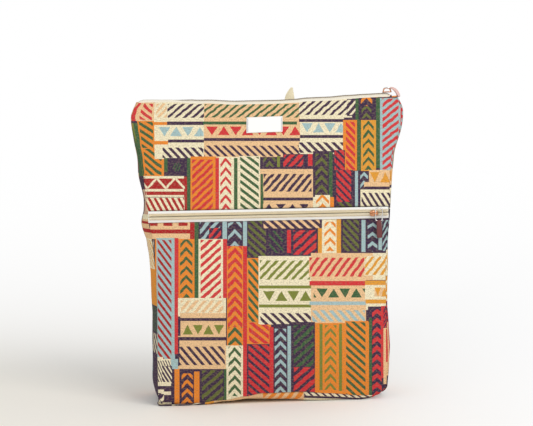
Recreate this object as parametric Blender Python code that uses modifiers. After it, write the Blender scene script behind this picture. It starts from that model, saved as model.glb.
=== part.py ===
"""Tapestry backpack: a soft zip-top bag with a full-width zipped front pocket.

Units are metres, +Z is up, the front faces -Y and the origin is the centre of
the base on the floor. Every cloth wall is a solid of its real thickness.
"""

from math import cos, pi, radians, sin, sqrt, tan

import bmesh
import bpy
from mathutils import Matrix, Vector

# Levels of the body above the floor
BASE_EDGE = 0.012
ZIP_LEVEL = 0.2265
MOUTH_LEVEL = 0.364
EAR_DROP = 0.019
MOUTH_TILT = radians(1.1)
EAR_LEVEL = MOUTH_LEVEL - EAR_DROP
FOOT_LEVEL = BASE_EDGE + 0.18 * (ZIP_LEVEL - BASE_EDGE)
BELLY_LEVEL = BASE_EDGE + 0.53 * (ZIP_LEVEL - BASE_EDGE)
WAIST_LEVEL = BASE_EDGE + 0.83 * (ZIP_LEVEL - BASE_EDGE)
CHEST_LEVEL = ZIP_LEVEL + 0.55 * (EAR_LEVEL - ZIP_LEVEL)
LEVELS = (BASE_EDGE, FOOT_LEVEL, BELLY_LEVEL, WAIST_LEVEL, ZIP_LEVEL, CHEST_LEVEL, EAR_LEVEL, MOUTH_LEVEL)

# The body's section at each of those levels, from the base edge up
BASE_WIDTH = 0.278
ZIP_WIDTH = 0.290
EAR_WIDTH = 0.326
MOUTH_WIDTH = 0.314
SEAM_WIDTHS = (BASE_WIDTH - 0.004, BASE_WIDTH - 0.004, BASE_WIDTH - 0.006, BASE_WIDTH + 0.001,
               ZIP_WIDTH, 0.302, EAR_WIDTH, MOUTH_WIDTH)
SIDE_CROWNS = (0.002, 0.005, 0.006, 0.005, 0.003, 0.002, 0.001, 0.0005)
FRONT_DEPTHS = (0.047, 0.050, 0.047, 0.041, 0.037, 0.024, 0.0125, 0.008)
FRONT_CROWNS = (0.002, 0.008, 0.012, 0.005, 0.0, 0.004, 0.001, 0.0)
BACK_DEPTHS = (0.044, 0.045, 0.042, 0.037, 0.033, 0.022, 0.0125, 0.008)
BACK_CROWNS = (0.002, 0.005, 0.008, 0.008, 0.007, 0.004, 0.001, 0.0)
CROWN_POWER = 2.4

# Cloth
CLOTH = 0.0016
LINING = 0.0010
BASE_CLOTH = 0.0020
TOUCH_GAP = 0.0003
BASE_CORNER_ACROSS = 0.020
BASE_CORNER_DEEP = 0.010
BASE_LIP = 0.0015
BASE_FRONT_STEPS = 20
BASE_SIDE_STEPS = 6
BASE_CORNER_STEPS = 5
PANEL_COLUMNS = 22
UPPER_ROWS = 12
POCKET_ROWS = 16
FULL_HEIGHT_ROWS = 22
GUSSET_COLUMNS = 6
SLOPE_STEP = 0.001
NORMAL_STEP = 0.005

# Pocket
POCKET_BACK_GAP = 0.0042
POCKET_SEAM_GAP = 0.0006
POCKET_LINING_RISE = 0.022
LINING_BEND = 0.004
LINING_SEAM = 0.010
LINING_FOOT_SHARE = 0.3
LINING_SIDE_GAP = 0.0012
LINING_COLUMNS = 8
LINING_ROWS = 14

# Zips, the same make for the top and the pocket
TAPE_THICKNESS = 0.0009
COIL_GAP = 0.0012
COIL_ROW_WIDTH = 0.0030
COIL_HEIGHT = 0.0020
COIL_SHOULDER = 0.0006
COIL_END_GAP = 0.0010
POCKET_TAPE_HALF_WIDTH = 0.0068
TOP_TAPE_FLAT = 0.0056
TOP_ZIP_RISE = 0.0035
TOP_ZIP_END_GAP = 0.0035
TOP_TAPE_EDGE_INSET = 0.0005
POCKET_ZIP_END_GAP = 0.0006
SLIDER_LENGTH = 0.0110
SLIDER_PLATE = 0.0016
SLIDER_INNER_PLATE = 0.0010
SLIDER_WEB = 0.0006
SLIDER_FLANGE = 0.0013
SLIDER_INNER_HALF_WIDTH = 0.0046
BRIDGE_LENGTH = 0.0084
BRIDGE_WIDTH = 0.0024
BRIDGE_BAR = 0.0010
BRIDGE_LEG = 0.0016
BRIDGE_HOLE_HEIGHT = 0.0042
BRIDGE_SINK = 0.0005
BRIDGE_BEVEL = 0.0012
RING_PLACE_IN_HOLE = 0.55
RING_SIZE = 0.0096
RING_WIRE = 0.0012
RING_CORNER = 0.0010
RING_OFFSET = 0.0014
TAB_LEATHER = 0.0010
TAB_WIDTH = 0.0060
TAB_CORNER = 0.0008
TAB_STEPS = 10
POCKET_TAB_LENGTH = 0.0195
TOP_TAB_LENGTH = 0.0125
TOP_TAB_DROOP = radians(12)
TOP_SLIDER_END_GAP = 0.0120
POCKET_SLIDER_END_GAP = 0.0189

# Label
LABEL_WIDTH = 0.0434
LABEL_HEIGHT = 0.0183
LABEL_THICKNESS = 0.0008
LABEL_CENTRE_X = -0.0020
LABEL_DROP = 0.0275
LABEL_LIFT = 0.0004

# Straps, loop and their fittings on the back
WEBBING = 0.0016
STRAP_WIDTH = 0.030
STRAP_LIE_GAP = 0.0006
STRAP_TOP_X = 0.034
STRAP_TOP_DROP = 0.020
STRAP_FOOT_X = 0.108
STRAP_FOOT_LEVEL = 0.046
STRAP_STRAIGHT_END = 0.172
STRAP_STAND_OFF = 0.036
STRAP_ARC_STEPS = 13
STRAP_TURN_STEPS = 8
STRAP_SEWN_LENGTH = 0.018
STRAP_RING_STAND_OFF = 0.0115
STRAP_RING_LEVEL = 0.026
STRAP_RING_HEIGHT = 0.013
STRAP_RING_WIRE = 0.0030
STRAP_RING_CORNER = 0.0012
STRAP_RING_CLEARANCE = 0.0010
RING_TAB_FOOT = 0.012
RING_TAB_WRAP_START = radians(-50)
RING_TAB_WRAP_STEPS = 11
RING_TAB_FOOT_DROP = 0.010
RING_TAB_BEND_DROP = 0.008
RING_TAB_SIDE_GAP = 0.0005
RING_TAB_LIFT = 0.00045
ADJUSTER_PLACE = 0.112
ADJUSTER_HEIGHT = 0.020
ADJUSTER_RAIL = 0.0035
ADJUSTER_BAR = 0.0045
ADJUSTER_THICKNESS = 0.0020
WINDOW_DEPTHS = 4.0
SLOT_DEPTHS = 2.4
STRAP_TAIL = 0.044
PATCH_WIDTH = 0.112
PATCH_HEIGHT = 0.024
PATCH_DROP = 0.010
PATCH_CLOTH = 0.0014
LOOP_X = 0.028
LOOP_WIDTH = 0.013
LOOP_RISE = 0.0155
LOOP_RADIUS = 0.0048
LOOP_FOOT_DROP = 0.0165
LOOP_OUTER_FOOT_DROP = 0.0055
LOOP_INNER_RISE_SHARE = 0.3
LOOP_OUTER_RISE_SHARE = 0.25
LOOP_OUTER_LEAN = 0.55
LOOP_FOOT_LEAN = 0.0009
LOOP_FOOT_BEND_SHARE = 0.4
LOOP_STEPS = 8

# Colours as red, green, blue in linear light, with roughness and metallic
TAPESTRY = ((0.55, 0.30, 0.16), 0.9, 0.0)
TAPESTRY_POCKET = ((0.50, 0.24, 0.12), 0.9, 0.0)
TAPESTRY_SIDE = ((0.32, 0.22, 0.16), 0.9, 0.0)
LINING_COTTON = ((0.55, 0.50, 0.40), 0.9, 0.0)
TAPE_WHITE = ((0.85, 0.84, 0.80), 0.8, 0.0)
COIL_BEIGE = ((0.62, 0.52, 0.36), 0.5, 0.0)
COIL_TAUPE = ((0.40, 0.34, 0.27), 0.5, 0.0)
COPPER = ((0.60, 0.27, 0.14), 0.3, 1.0)
RING_SILVER = ((0.75, 0.74, 0.72), 0.25, 1.0)
LEATHER = ((0.19, 0.06, 0.05), 0.6, 0.0)
LABEL_WHITE = ((0.88, 0.88, 0.86), 0.7, 0.0)
WEBBING_CREAM = ((0.76, 0.68, 0.50), 0.85, 0.0)

COLLECTION_NAME = "tapestry_backpack"
ALONG_X = (radians(90), 0.0, radians(90))
FACE_OUT = (radians(180), 0.0, 0.0)


def clear_scene():
    for old in list(bpy.data.objects):
        bpy.data.objects.remove(old, do_unlink=True)


def make_collection(name):
    collection = bpy.data.collections.new(name)
    bpy.context.scene.collection.children.link(collection)
    return collection


def make_material(name, finish):
    colour, roughness, metallic = finish
    material = bpy.data.materials.new(name)
    material.use_nodes = True
    shader = material.node_tree.nodes["Principled BSDF"]
    shader.inputs["Base Color"].default_value = (*colour, 1.0)
    shader.inputs["Roughness"].default_value = roughness
    shader.inputs["Metallic"].default_value = metallic
    return material


def add_piece(name, data, finish, parent=None, location=(0, 0, 0), rotation=(0, 0, 0)):
    piece = bpy.data.objects.new(name, data)
    parts.objects.link(piece)
    data.materials.append(make_material(name, finish))
    piece.parent = parent
    piece.location = location
    piece.rotation_euler = rotation
    return piece


def add_frame(name, parent=None, location=(0, 0, 0), rotation=(0, 0, 0)):
    """An empty that carries the pieces of one assembly or joint."""
    frame = bpy.data.objects.new(name, None)
    parts.objects.link(frame)
    frame.parent = parent
    frame.location = location
    frame.rotation_euler = rotation
    return frame


# The body's surfaces

def slopes(values):
    """Slopes at the levels for a curve that never overshoots its points."""
    steps = [LEVELS[i + 1] - LEVELS[i] for i in range(len(LEVELS) - 1)]
    secants = [(values[i + 1] - values[i]) / steps[i] for i in range(len(steps))]
    inner = []
    for before, after in zip(secants, secants[1:]):
        inner.append(0.0 if before * after <= 0 else 2 * before * after / (before + after))
    return [secants[0], *inner, secants[-1]]


def at_level(values, level):
    """Value of one section size at any height, smooth between the levels."""
    level = min(max(level, LEVELS[0]), LEVELS[-1])
    i = max(k for k in range(len(LEVELS) - 1) if LEVELS[k] <= level)
    step = LEVELS[i + 1] - LEVELS[i]
    t = (level - LEVELS[i]) / step
    tangents = slopes(values)
    return ((2 * t**3 - 3 * t**2 + 1) * values[i] + (t**3 - 2 * t**2 + t) * step * tangents[i]
            + (3 * t**2 - 2 * t**3) * values[i + 1] + (t**3 - t**2) * step * tangents[i + 1])


def tilt_rise(x, level):
    """Rise of the cloth over its level, as the mouth is higher at the right than at the left."""
    share = min(max((level - ZIP_LEVEL) / (MOUTH_LEVEL - ZIP_LEVEL), 0.0), 1.0)
    return x * tan(MOUTH_TILT) * share**2 * (3 - 2 * share)


def level_at(x, height):
    """Level of the cloth that is at a height above the floor."""
    level = height
    for _ in range(3):
        level = height - tilt_rise(x, level)
    return min(max(level, BASE_EDGE), MOUTH_LEVEL)


def on_body(x, y, level):
    return Vector((x, y, level + tilt_rise(x, level)))


def seam_x(level):
    return at_level(SEAM_WIDTHS, level) / 2


def crown_share(x, level):
    return 1 - min(abs(x) / seam_x(level), 1.0) ** CROWN_POWER


def front_y(x, level):
    return -at_level(FRONT_DEPTHS, level) - at_level(FRONT_CROWNS, level) * crown_share(x, level)


def back_y(x, level):
    return at_level(BACK_DEPTHS, level) + at_level(BACK_CROWNS, level) * crown_share(x, level)


def wall_depth(depths, level, thickness):
    """Depth that a sloping wall takes up along Y."""
    above = at_level(depths, level + SLOPE_STEP)
    below = at_level(depths, level - SLOPE_STEP)
    slope = (above - below) / (2 * SLOPE_STEP)
    return thickness * sqrt(1 + slope**2)


def gusset_point(side, share, level):
    """Point on a side wall; share runs from 0 at the front seam to 1 at the back seam."""
    front_end = -at_level(FRONT_DEPTHS, level) + wall_depth(FRONT_DEPTHS, level, CLOTH) + TOUCH_GAP
    back_end = at_level(BACK_DEPTHS, level) - wall_depth(BACK_DEPTHS, level, CLOTH) - TOUCH_GAP
    bulge = at_level(SIDE_CROWNS, level) * (1 - (2 * share - 1) ** 2)
    return on_body(side * (seam_x(level) + bulge), front_end + share * (back_end - front_end), level)


def cloth_panel(name, finish, columns, rows, point, thickness, outward=False):
    """A wall of cloth: a grid laid on point(u, v), given its thickness by Solidify."""
    mesh = bpy.data.meshes.new(name)
    bm = bmesh.new()
    bmesh.ops.create_grid(bm, x_segments=columns, y_segments=rows, size=1.0)
    for vert in bm.verts:
        vert.co = point((vert.co.x + 1) / 2, (vert.co.y + 1) / 2)
    bm.to_mesh(mesh)
    bm.free()
    panel = add_piece(name, mesh, finish)
    solidify = panel.modifiers.new("thickness", "SOLIDIFY")
    solidify.thickness = thickness
    solidify.offset = 1.0 if outward else -1.0
    mesh.shade_smooth()
    mesh.set_sharp_from_angle(angle=radians(40))
    return panel


def between(low, high, share):
    return low + (high - low) * share


def build_front():
    upper_low = ZIP_LEVEL + POCKET_TAPE_HALF_WIDTH + TOUCH_GAP
    pocket_high = ZIP_LEVEL - POCKET_TAPE_HALF_WIDTH - TOUCH_GAP

    def wall(low, high):
        def point(u, v):
            level = between(low, high, v)
            x = between(-seam_x(level), seam_x(level), u)
            return on_body(x, front_y(x, level), level)
        return point

    cloth_panel("front_panel_upper", TAPESTRY, PANEL_COLUMNS, UPPER_ROWS, wall(upper_low, MOUTH_LEVEL), CLOTH)
    cloth_panel("front_pocket_panel", TAPESTRY_POCKET, PANEL_COLUMNS, POCKET_ROWS,
                wall(BASE_EDGE + TOUCH_GAP, pocket_high), CLOTH)


def build_back():
    def point(u, v):
        level = between(BASE_EDGE + TOUCH_GAP, MOUTH_LEVEL, v)
        x = between(seam_x(level), -seam_x(level), u)
        return on_body(x, back_y(x, level), level)

    cloth_panel("back_panel", TAPESTRY, PANEL_COLUMNS, FULL_HEIGHT_ROWS, point, CLOTH)


def build_gussets():
    for name, side in (("side_gusset_left", -1), ("side_gusset_right", 1)):
        def point(u, v, side=side):
            level = between(BASE_EDGE + TOUCH_GAP, MOUTH_LEVEL, v)
            return gusset_point(side, u if side > 0 else 1 - u, level)

        cloth_panel(name, TAPESTRY_SIDE, GUSSET_COLUMNS, FULL_HEIGHT_ROWS, point, CLOTH)


def base_outline():
    """Corner-to-corner points of the body's outline at the base edge, anticlockwise from above."""
    half = seam_x(BASE_EDGE)
    crown = at_level(SIDE_CROWNS, BASE_EDGE)
    front = at_level(FRONT_DEPTHS, BASE_EDGE)
    back = at_level(BACK_DEPTHS, BASE_EDGE)
    across = [between(-half, half, i / BASE_FRONT_STEPS) for i in range(BASE_FRONT_STEPS)]
    deep = [i / BASE_SIDE_STEPS for i in range(BASE_SIDE_STEPS)]
    points = [(x, front_y(x, BASE_EDGE)) for x in across]
    points += [(half + crown * (1 - (2 * t - 1) ** 2), between(-front, back, t)) for t in deep]
    points += [(-x, back_y(x, BASE_EDGE)) for x in across]
    points += [(-half - crown * (1 - (2 * t - 1) ** 2), between(back, -front, t)) for t in deep]
    return points


def build_base():
    """A shallow tray: flat on the floor, its edge turned up to the seams."""
    outline = base_outline()
    half = seam_x(BASE_EDGE)
    deep = at_level(FRONT_DEPTHS, BASE_EDGE)
    mesh = bpy.data.meshes.new("base_panel")
    bm = bmesh.new()
    rings = [[bm.verts.new((x, y, BASE_EDGE)) for x, y in outline]]
    for k in range(BASE_CORNER_STEPS + 1):
        turn = k / BASE_CORNER_STEPS * pi / 2
        shrink_x = 1 - BASE_CORNER_ACROSS * (1 - cos(turn)) / half
        shrink_y = 1 - BASE_CORNER_DEEP * (1 - cos(turn)) / deep
        level = (BASE_EDGE - BASE_LIP) * (1 - sin(turn)) if k < BASE_CORNER_STEPS else 0.0
        rings.append([bm.verts.new((x * shrink_x, y * shrink_y, level)) for x, y in outline])
    count = len(outline)
    for upper, lower in zip(rings, rings[1:]):
        for i in range(count):
            j = (i + 1) % count
            bm.faces.new((upper[i], lower[i], lower[j], upper[j]))
    bm.faces.new(reversed(rings[-1]))
    bm.to_mesh(mesh)
    bm.free()
    base = add_piece("base_panel", mesh, TAPESTRY_SIDE)
    solidify = base.modifiers.new("thickness", "SOLIDIFY")
    solidify.thickness = BASE_CLOTH
    solidify.offset = -1.0


def lining_gap(level):
    """How far the pocket's back wall stands behind the front cloth."""
    below_zip = ZIP_LEVEL - POCKET_TAPE_HALF_WIDTH
    above_zip = ZIP_LEVEL + POCKET_TAPE_HALF_WIDTH
    if level >= above_zip + LINING_BEND:
        return POCKET_SEAM_GAP
    if level >= above_zip:
        return between(POCKET_BACK_GAP, POCKET_SEAM_GAP, (level - above_zip) / LINING_BEND)
    foot = min((level - BASE_EDGE) / (LINING_FOOT_SHARE * (below_zip - BASE_EDGE)), 1.0)
    return between(POCKET_SEAM_GAP, POCKET_BACK_GAP, foot)


def build_pocket_lining():
    low = BASE_EDGE + POCKET_SEAM_GAP
    above_zip = ZIP_LEVEL + POCKET_TAPE_HALF_WIDTH
    levels = [between(low, above_zip, i / LINING_ROWS) for i in range(LINING_ROWS + 1)]
    levels += [above_zip + LINING_BEND, above_zip + LINING_SEAM, above_zip + POCKET_LINING_RISE]
    rows = len(levels) - 1

    def point(u, v):
        level = levels[round(v * rows)]
        reach = seam_x(level) - CLOTH - LINING_SIDE_GAP
        x = between(-reach, reach, u)
        back_of_cloth = wall_depth(FRONT_DEPTHS, level, CLOTH)
        return Vector((x, -at_level(FRONT_DEPTHS, level) + back_of_cloth + lining_gap(level), level))

    cloth_panel("pocket_lining", LINING_COTTON, LINING_COLUMNS, rows, point, LINING)


# Prisms: flat outlines given a depth

def outline_curve(name, outlines, half_depth):
    curve = bpy.data.curves.new(name, "CURVE")
    curve.dimensions = "2D"
    curve.fill_mode = "BOTH"
    curve.extrude = half_depth
    for points in outlines:
        spline = curve.splines.new("POLY")
        spline.points.add(len(points) - 1)
        for target, (a, b) in zip(spline.points, points):
            target.co = (a, b, 0.0, 1.0)
        spline.use_cyclic_u = True
    return curve


def prism(name, finish, outlines, half_depth, parent, location=(0, 0, 0), rotation=ALONG_X):
    """A prism of flat outlines; as ALONG_X turns it, they are (y, z) points and it runs along X."""
    return add_piece(name, outline_curve(name, outlines, half_depth), finish, parent, location, rotation)


def made_mesh(piece):
    """The same piece as a mesh with its caps welded on, for Boolean modifiers."""
    bpy.context.view_layer.update()
    evaluated = piece.evaluated_get(bpy.context.evaluated_depsgraph_get())
    mesh = bpy.data.meshes.new_from_object(evaluated)
    bm = bmesh.new()
    bm.from_mesh(mesh)
    bmesh.ops.remove_doubles(bm, verts=bm.verts, dist=0.00001)
    bm.to_mesh(mesh)
    bm.free()
    name = piece.name
    finish_material = piece.data.materials[0]
    solid = bpy.data.objects.new(name + "_solid", mesh)
    mesh.materials.clear()
    mesh.materials.append(finish_material)
    for collection in piece.users_collection:
        collection.objects.link(solid)
    solid.parent = piece.parent
    solid.location = piece.location
    solid.rotation_euler = piece.rotation_euler
    bpy.data.objects.remove(piece, do_unlink=True)
    solid.name = name
    return solid


def as_cutter(piece):
    solid = made_mesh(piece)
    for collection in list(solid.users_collection):
        collection.objects.unlink(solid)
    cutters.objects.link(solid)
    solid.hide_render = True
    solid.display_type = "WIRE"
    return solid


def join_with(piece, tool, operation):
    boolean = piece.modifiers.new(tool.name, "BOOLEAN")
    boolean.operation = operation
    boolean.object = tool
    boolean.solver = "EXACT"


# Zips. In a zip's frame X runs along it, -Y is its face and Z is across it

RING_AXIS_OUT = COIL_HEIGHT + 2 * TOUCH_GAP + SLIDER_PLATE + RING_PLACE_IN_HOLE * BRIDGE_HOLE_HEIGHT


def tape_outline(side, flat, edge, drop):
    inner = COIL_GAP / 2
    face = [(0.0, inner), (0.0, flat), (drop, edge)]
    back = [(drop + TAPE_THICKNESS, edge), (TAPE_THICKNESS, flat), (TAPE_THICKNESS, inner)]
    return [(y, side * z) for y, z in face + back]


def coil_outline(side):
    inner = COIL_GAP / 2
    outer = inner + COIL_ROW_WIDTH
    crest = -TOUCH_GAP - COIL_HEIGHT
    points = [(-TOUCH_GAP, inner), (crest + COIL_SHOULDER, inner), (crest, inner + COIL_SHOULDER),
              (crest, outer - COIL_SHOULDER), (crest + COIL_SHOULDER, outer), (-TOUCH_GAP, outer)]
    return [(y, side * z) for y, z in points]


def slider_outline():
    """Half of the slider's section, from its web out, then mirrored."""
    plate_back = -(COIL_HEIGHT + 2 * TOUCH_GAP)
    plate_face = plate_back - SLIDER_PLATE
    flange_in = COIL_GAP / 2 + COIL_ROW_WIDTH + TOUCH_GAP
    flange_out = flange_in + SLIDER_FLANGE
    inner_face = TAPE_THICKNESS + TOUCH_GAP
    inner_back = inner_face + SLIDER_INNER_PLATE
    web = SLIDER_WEB / 2
    half = [(plate_face, flange_out), (-TOUCH_GAP, flange_out), (-TOUCH_GAP, flange_in),
            (plate_back, flange_in), (plate_back, web), (inner_face, web),
            (inner_face, SLIDER_INNER_HALF_WIDTH), (inner_back, SLIDER_INNER_HALF_WIDTH)]
    return half + [(y, -z) for y, z in reversed(half)]


def bridge_outline():
    """The bridge from the side, as (x, distance out of the face) about the slider's centre."""
    floor = COIL_HEIGHT + 2 * TOUCH_GAP + SLIDER_PLATE
    foot = floor - BRIDGE_SINK
    roof = floor + BRIDGE_HOLE_HEIGHT
    top = roof + BRIDGE_BAR
    half = BRIDGE_LENGTH / 2
    outer = [(-half, foot), (half, foot), (half, top - BRIDGE_BEVEL), (half - BRIDGE_BEVEL, top),
             (BRIDGE_BEVEL - half, top), (-half, top - BRIDGE_BEVEL)]
    hole = [(-half + BRIDGE_LEG, floor), (half - BRIDGE_LEG, floor),
            (half - BRIDGE_LEG, roof), (-half + BRIDGE_LEG, roof)]
    return outer, hole


def build_slider(name, frame, x):
    slider = prism(name, COPPER, [slider_outline()], SLIDER_LENGTH / 2, frame, (x, 0, 0))
    slider = made_mesh(slider)
    bridge = prism(name + "_bridge", COPPER, bridge_outline(), BRIDGE_WIDTH / 2, frame, (x, 0, 0), FACE_OUT)
    join_with(slider, as_cutter(bridge), "UNION")


def ring_path(width, height, corner, steps=3):
    """Closed rounded rectangle, centred, as (x, z) points."""
    points = []
    for centre_x, centre_z, start in ((1, 1, 0), (-1, 1, 90), (-1, -1, 180), (1, -1, 270)):
        for k in range(steps + 1):
            turn = radians(start + 90 * k / steps)
            points.append((centre_x * (width / 2 - corner) + corner * cos(turn),
                           centre_z * (height / 2 - corner) + corner * sin(turn)))
    return points


def wire_ring(name, finish, width, height, corner, wire, parent, centre):
    """A closed wire loop in the X-Z plane; centre is measured from the piece's origin."""
    curve = bpy.data.curves.new(name, "CURVE")
    curve.dimensions = "3D"
    curve.bevel_depth = wire / 2
    curve.bevel_resolution = 2
    path = ring_path(width - wire, height - wire, corner)
    spline = curve.splines.new("POLY")
    spline.points.add(len(path) - 1)
    for target, (a, b) in zip(spline.points, path):
        target.co = (centre[0] + a, centre[1], centre[2] + b, 1.0)
    spline.use_cyclic_u = True
    return add_piece(name, curve, finish, parent)


def tab_outlines(length, wire):
    """Leather folded round a wire at the origin and hanging down, as (y, z) points."""
    hole = wire / 2 + TOUCH_GAP
    head = hole + TAB_LEATHER
    half = TAB_LEATHER + TOUCH_GAP / 2
    start = sqrt(head**2 - half**2)
    outer = [(-half, TAB_CORNER - length), (TAB_CORNER - half, -length), (half - TAB_CORNER, -length),
             (half, TAB_CORNER - length), (half, -start)]
    sweep_from = -pi / 2 + half / head
    sweep = 2 * pi - 2 * half / head
    for k in range(1, TAB_STEPS):
        turn = sweep_from + sweep * k / TAB_STEPS
        outer.append((head * cos(turn), head * sin(turn)))
    outer.append((-half, -start))
    turns = [2 * pi * k / TAB_STEPS for k in range(TAB_STEPS)]
    return [outer, [(hole * cos(turn), hole * sin(turn)) for turn in turns]]


def build_zip(prefix, sides, frame, half_length, tape, coil_finish, slider_x):
    """Tapes, coils and slider of one zip."""
    flat, edge, drop = tape
    for side, side_name in ((1, sides[0]), (-1, sides[1])):
        tape_section = [tape_outline(side, flat, edge, drop)]
        prism(f"{prefix}_tape_{side_name}", TAPE_WHITE, tape_section, half_length, frame)
        coil_section = [coil_outline(side)]
        prism(f"{prefix}_coil_{side_name}", coil_finish, coil_section, half_length - COIL_END_GAP, frame)
    build_slider(prefix + "_slider", frame, slider_x)


def build_pull(prefix, frame, slider_x, tab_length, tab_on_side):
    """Ring on the slider's bridge and leather tab on the ring, each on its own hinge frame."""
    ring_frame = add_frame(prefix + "_ring_hinge", frame, (slider_x + RING_OFFSET, -RING_AXIS_OUT, 0))
    span = RING_SIZE - RING_WIRE
    wire_ring(prefix + "_pull_ring", RING_SILVER, RING_SIZE, RING_SIZE, RING_CORNER, RING_WIRE,
              ring_frame, (span / 2, 0, 0))
    if tab_on_side:
        tab_frame = add_frame(prefix + "_tab_hinge", ring_frame, (span / 2, 0, -span / 2))
    else:
        tab_frame = add_frame(prefix + "_tab_hinge", ring_frame)
        across = Vector((0, 0, 1))
        hang = Vector((cos(TOP_TAB_DROOP), sin(TOP_TAB_DROOP), 0))
        tilt = Matrix((across, across.cross(hang), -hang)).transposed().to_4x4()
        tab_frame.matrix_local = Matrix.Translation((span, 0, 0)) @ tilt
    prism(prefix + "_pull_tab", LEATHER, tab_outlines(tab_length, RING_WIRE), TAB_WIDTH / 2, tab_frame)


def build_top_zip():
    place = (0, 0, MOUTH_LEVEL + TOP_ZIP_RISE)
    frame = add_frame("top_zip_frame", None, place, (radians(-90), -MOUTH_TILT, 0))
    half_length = MOUTH_WIDTH / 2 - TOP_ZIP_END_GAP
    edge = at_level(FRONT_DEPTHS, MOUTH_LEVEL) - TOP_TAPE_EDGE_INSET
    drop = TOP_ZIP_RISE - TAPE_THICKNESS - TOUCH_GAP
    slider_x = MOUTH_WIDTH / 2 - TOP_SLIDER_END_GAP
    tape = (TOP_TAPE_FLAT, edge, drop)
    build_zip("top_zip", ("back", "front"), frame, half_length, tape, COIL_TAUPE, slider_x)
    build_pull("top_zip", frame, slider_x, TOP_TAB_LENGTH, False)


def build_pocket_zip():
    above = at_level(FRONT_DEPTHS, ZIP_LEVEL + SLOPE_STEP)
    below = at_level(FRONT_DEPTHS, ZIP_LEVEL - SLOPE_STEP)
    slope = (above - below) / (2 * SLOPE_STEP)
    lean = Vector((0, 1, slope)).normalized()
    up = Vector((0, -slope, 1)).normalized()
    frame = add_frame("front_zip_frame")
    tilt = Matrix((Vector((1, 0, 0)), lean, up)).transposed().to_4x4()
    frame.matrix_local = Matrix.Translation((0, front_y(0, ZIP_LEVEL), ZIP_LEVEL)) @ tilt
    half_length = seam_x(ZIP_LEVEL) - POCKET_ZIP_END_GAP
    slider_x = seam_x(ZIP_LEVEL) - POCKET_SLIDER_END_GAP
    tape = (TOP_TAPE_FLAT, POCKET_TAPE_HALF_WIDTH, 0.0)
    build_zip("front_zip", ("upper", "lower"), frame, half_length, tape, COIL_BEIGE, slider_x)
    build_pull("front_zip", frame, slider_x, POCKET_TAB_LENGTH, True)


def build_label():
    top = MOUTH_LEVEL - LABEL_DROP + LABEL_HEIGHT / 2

    def point(u, v):
        x = LABEL_CENTRE_X + LABEL_WIDTH * (u - 0.5)
        level = top - LABEL_HEIGHT * (1 - v)
        return on_body(x, front_y(x, level) - LABEL_LIFT, level)

    cloth_panel("label", LABEL_WHITE, 6, 3, point, LABEL_THICKNESS, outward=True)


# The back: straps, rings, adjusters, patch and loop

def band_outline(path, thickness):
    """Closed outline of a band of webbing whose middle follows the path of (y, z) points."""
    left = []
    right = []
    for i, (a, b) in enumerate(path):
        before = Vector(path[max(i - 1, 0)])
        after = Vector(path[min(i + 1, len(path) - 1)])
        run = (after - before).normalized()
        side = Vector((-run.y, run.x)) * thickness / 2
        left.append((a + side.x, b + side.y))
        right.append((a - side.x, b - side.y))
    return left + right[::-1]


def back_normal(x, level):
    across = (back_y(x + NORMAL_STEP, level) - back_y(x - NORMAL_STEP, level)) / (2 * NORMAL_STEP)
    rise = (back_y(x, level + NORMAL_STEP) - back_y(x, level - NORMAL_STEP)) / (2 * NORMAL_STEP)
    return Vector((-across, 1, -rise)).normalized()


def strap_frame_matrix(side):
    """Frame at the strap's foot: Z runs up the strap's chord and Y points out of the back."""
    foot = Vector((side * STRAP_FOOT_X, back_y(STRAP_FOOT_X, STRAP_FOOT_LEVEL), STRAP_FOOT_LEVEL))
    top_level = MOUTH_LEVEL - STRAP_TOP_DROP
    top = on_body(side * STRAP_TOP_X, back_y(STRAP_TOP_X, top_level), top_level)
    chord = top - foot
    up = chord.normalized()
    normal = back_normal(side * STRAP_TOP_X, top_level)
    out = (normal - up * up.dot(normal)).normalized()
    width = out.cross(up)
    rotation = Matrix((width, out, up)).transposed().to_4x4()
    return Matrix.Translation(foot) @ rotation, chord.length


def back_stand_off(matrix, along, width_share):
    """Height of the back cloth over the strap's frame at a distance up the strap."""
    inverse = matrix.inverted()
    out = 0.0
    for _ in range(12):
        world = matrix @ Vector((width_share * STRAP_WIDTH / 2, out, along))
        on_cloth = Vector((world.x, back_y(world.x, level_at(world.x, world.z)), world.z))
        out = (inverse @ on_cloth).y
    return out


def seat_on_back(matrix, along, lift):
    """Place out of the strap's frame where webbing lies on the back cloth over its full width."""
    return max(back_stand_off(matrix, along, share) for share in (-1, 0, 1)) + lift


def strap_path(matrix, length):
    """The main layer from the top anchor down to the ring, and the straight's end points."""
    ring_top = STRAP_RING_LEVEL + STRAP_RING_HEIGHT - STRAP_RING_WIRE / 2
    straight_low = Vector((STRAP_RING_STAND_OFF, ring_top))
    straight_high = Vector((STRAP_STAND_OFF, STRAP_STRAIGHT_END))
    run = (straight_high - straight_low).normalized()
    lift = WEBBING / 2 + STRAP_LIE_GAP
    sewn = [length - STRAP_SEWN_LENGTH * k / 2 for k in range(3)]
    points = [(seat_on_back(matrix, along, lift), along) for along in sewn]
    start = Vector(points[-1])
    start_run = (start - Vector(points[-2])).normalized()
    span = (start - straight_high).length
    for k in range(1, STRAP_ARC_STEPS):
        t = k / STRAP_ARC_STEPS
        blend = ((2 * t**3 - 3 * t**2 + 1) * start + (t**3 - 2 * t**2 + t) * span * start_run
                 + (3 * t**2 - 2 * t**3) * straight_high - (t**3 - t**2) * span * run)
        points.append(tuple(blend))
    return points, straight_low, straight_high, run


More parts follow.
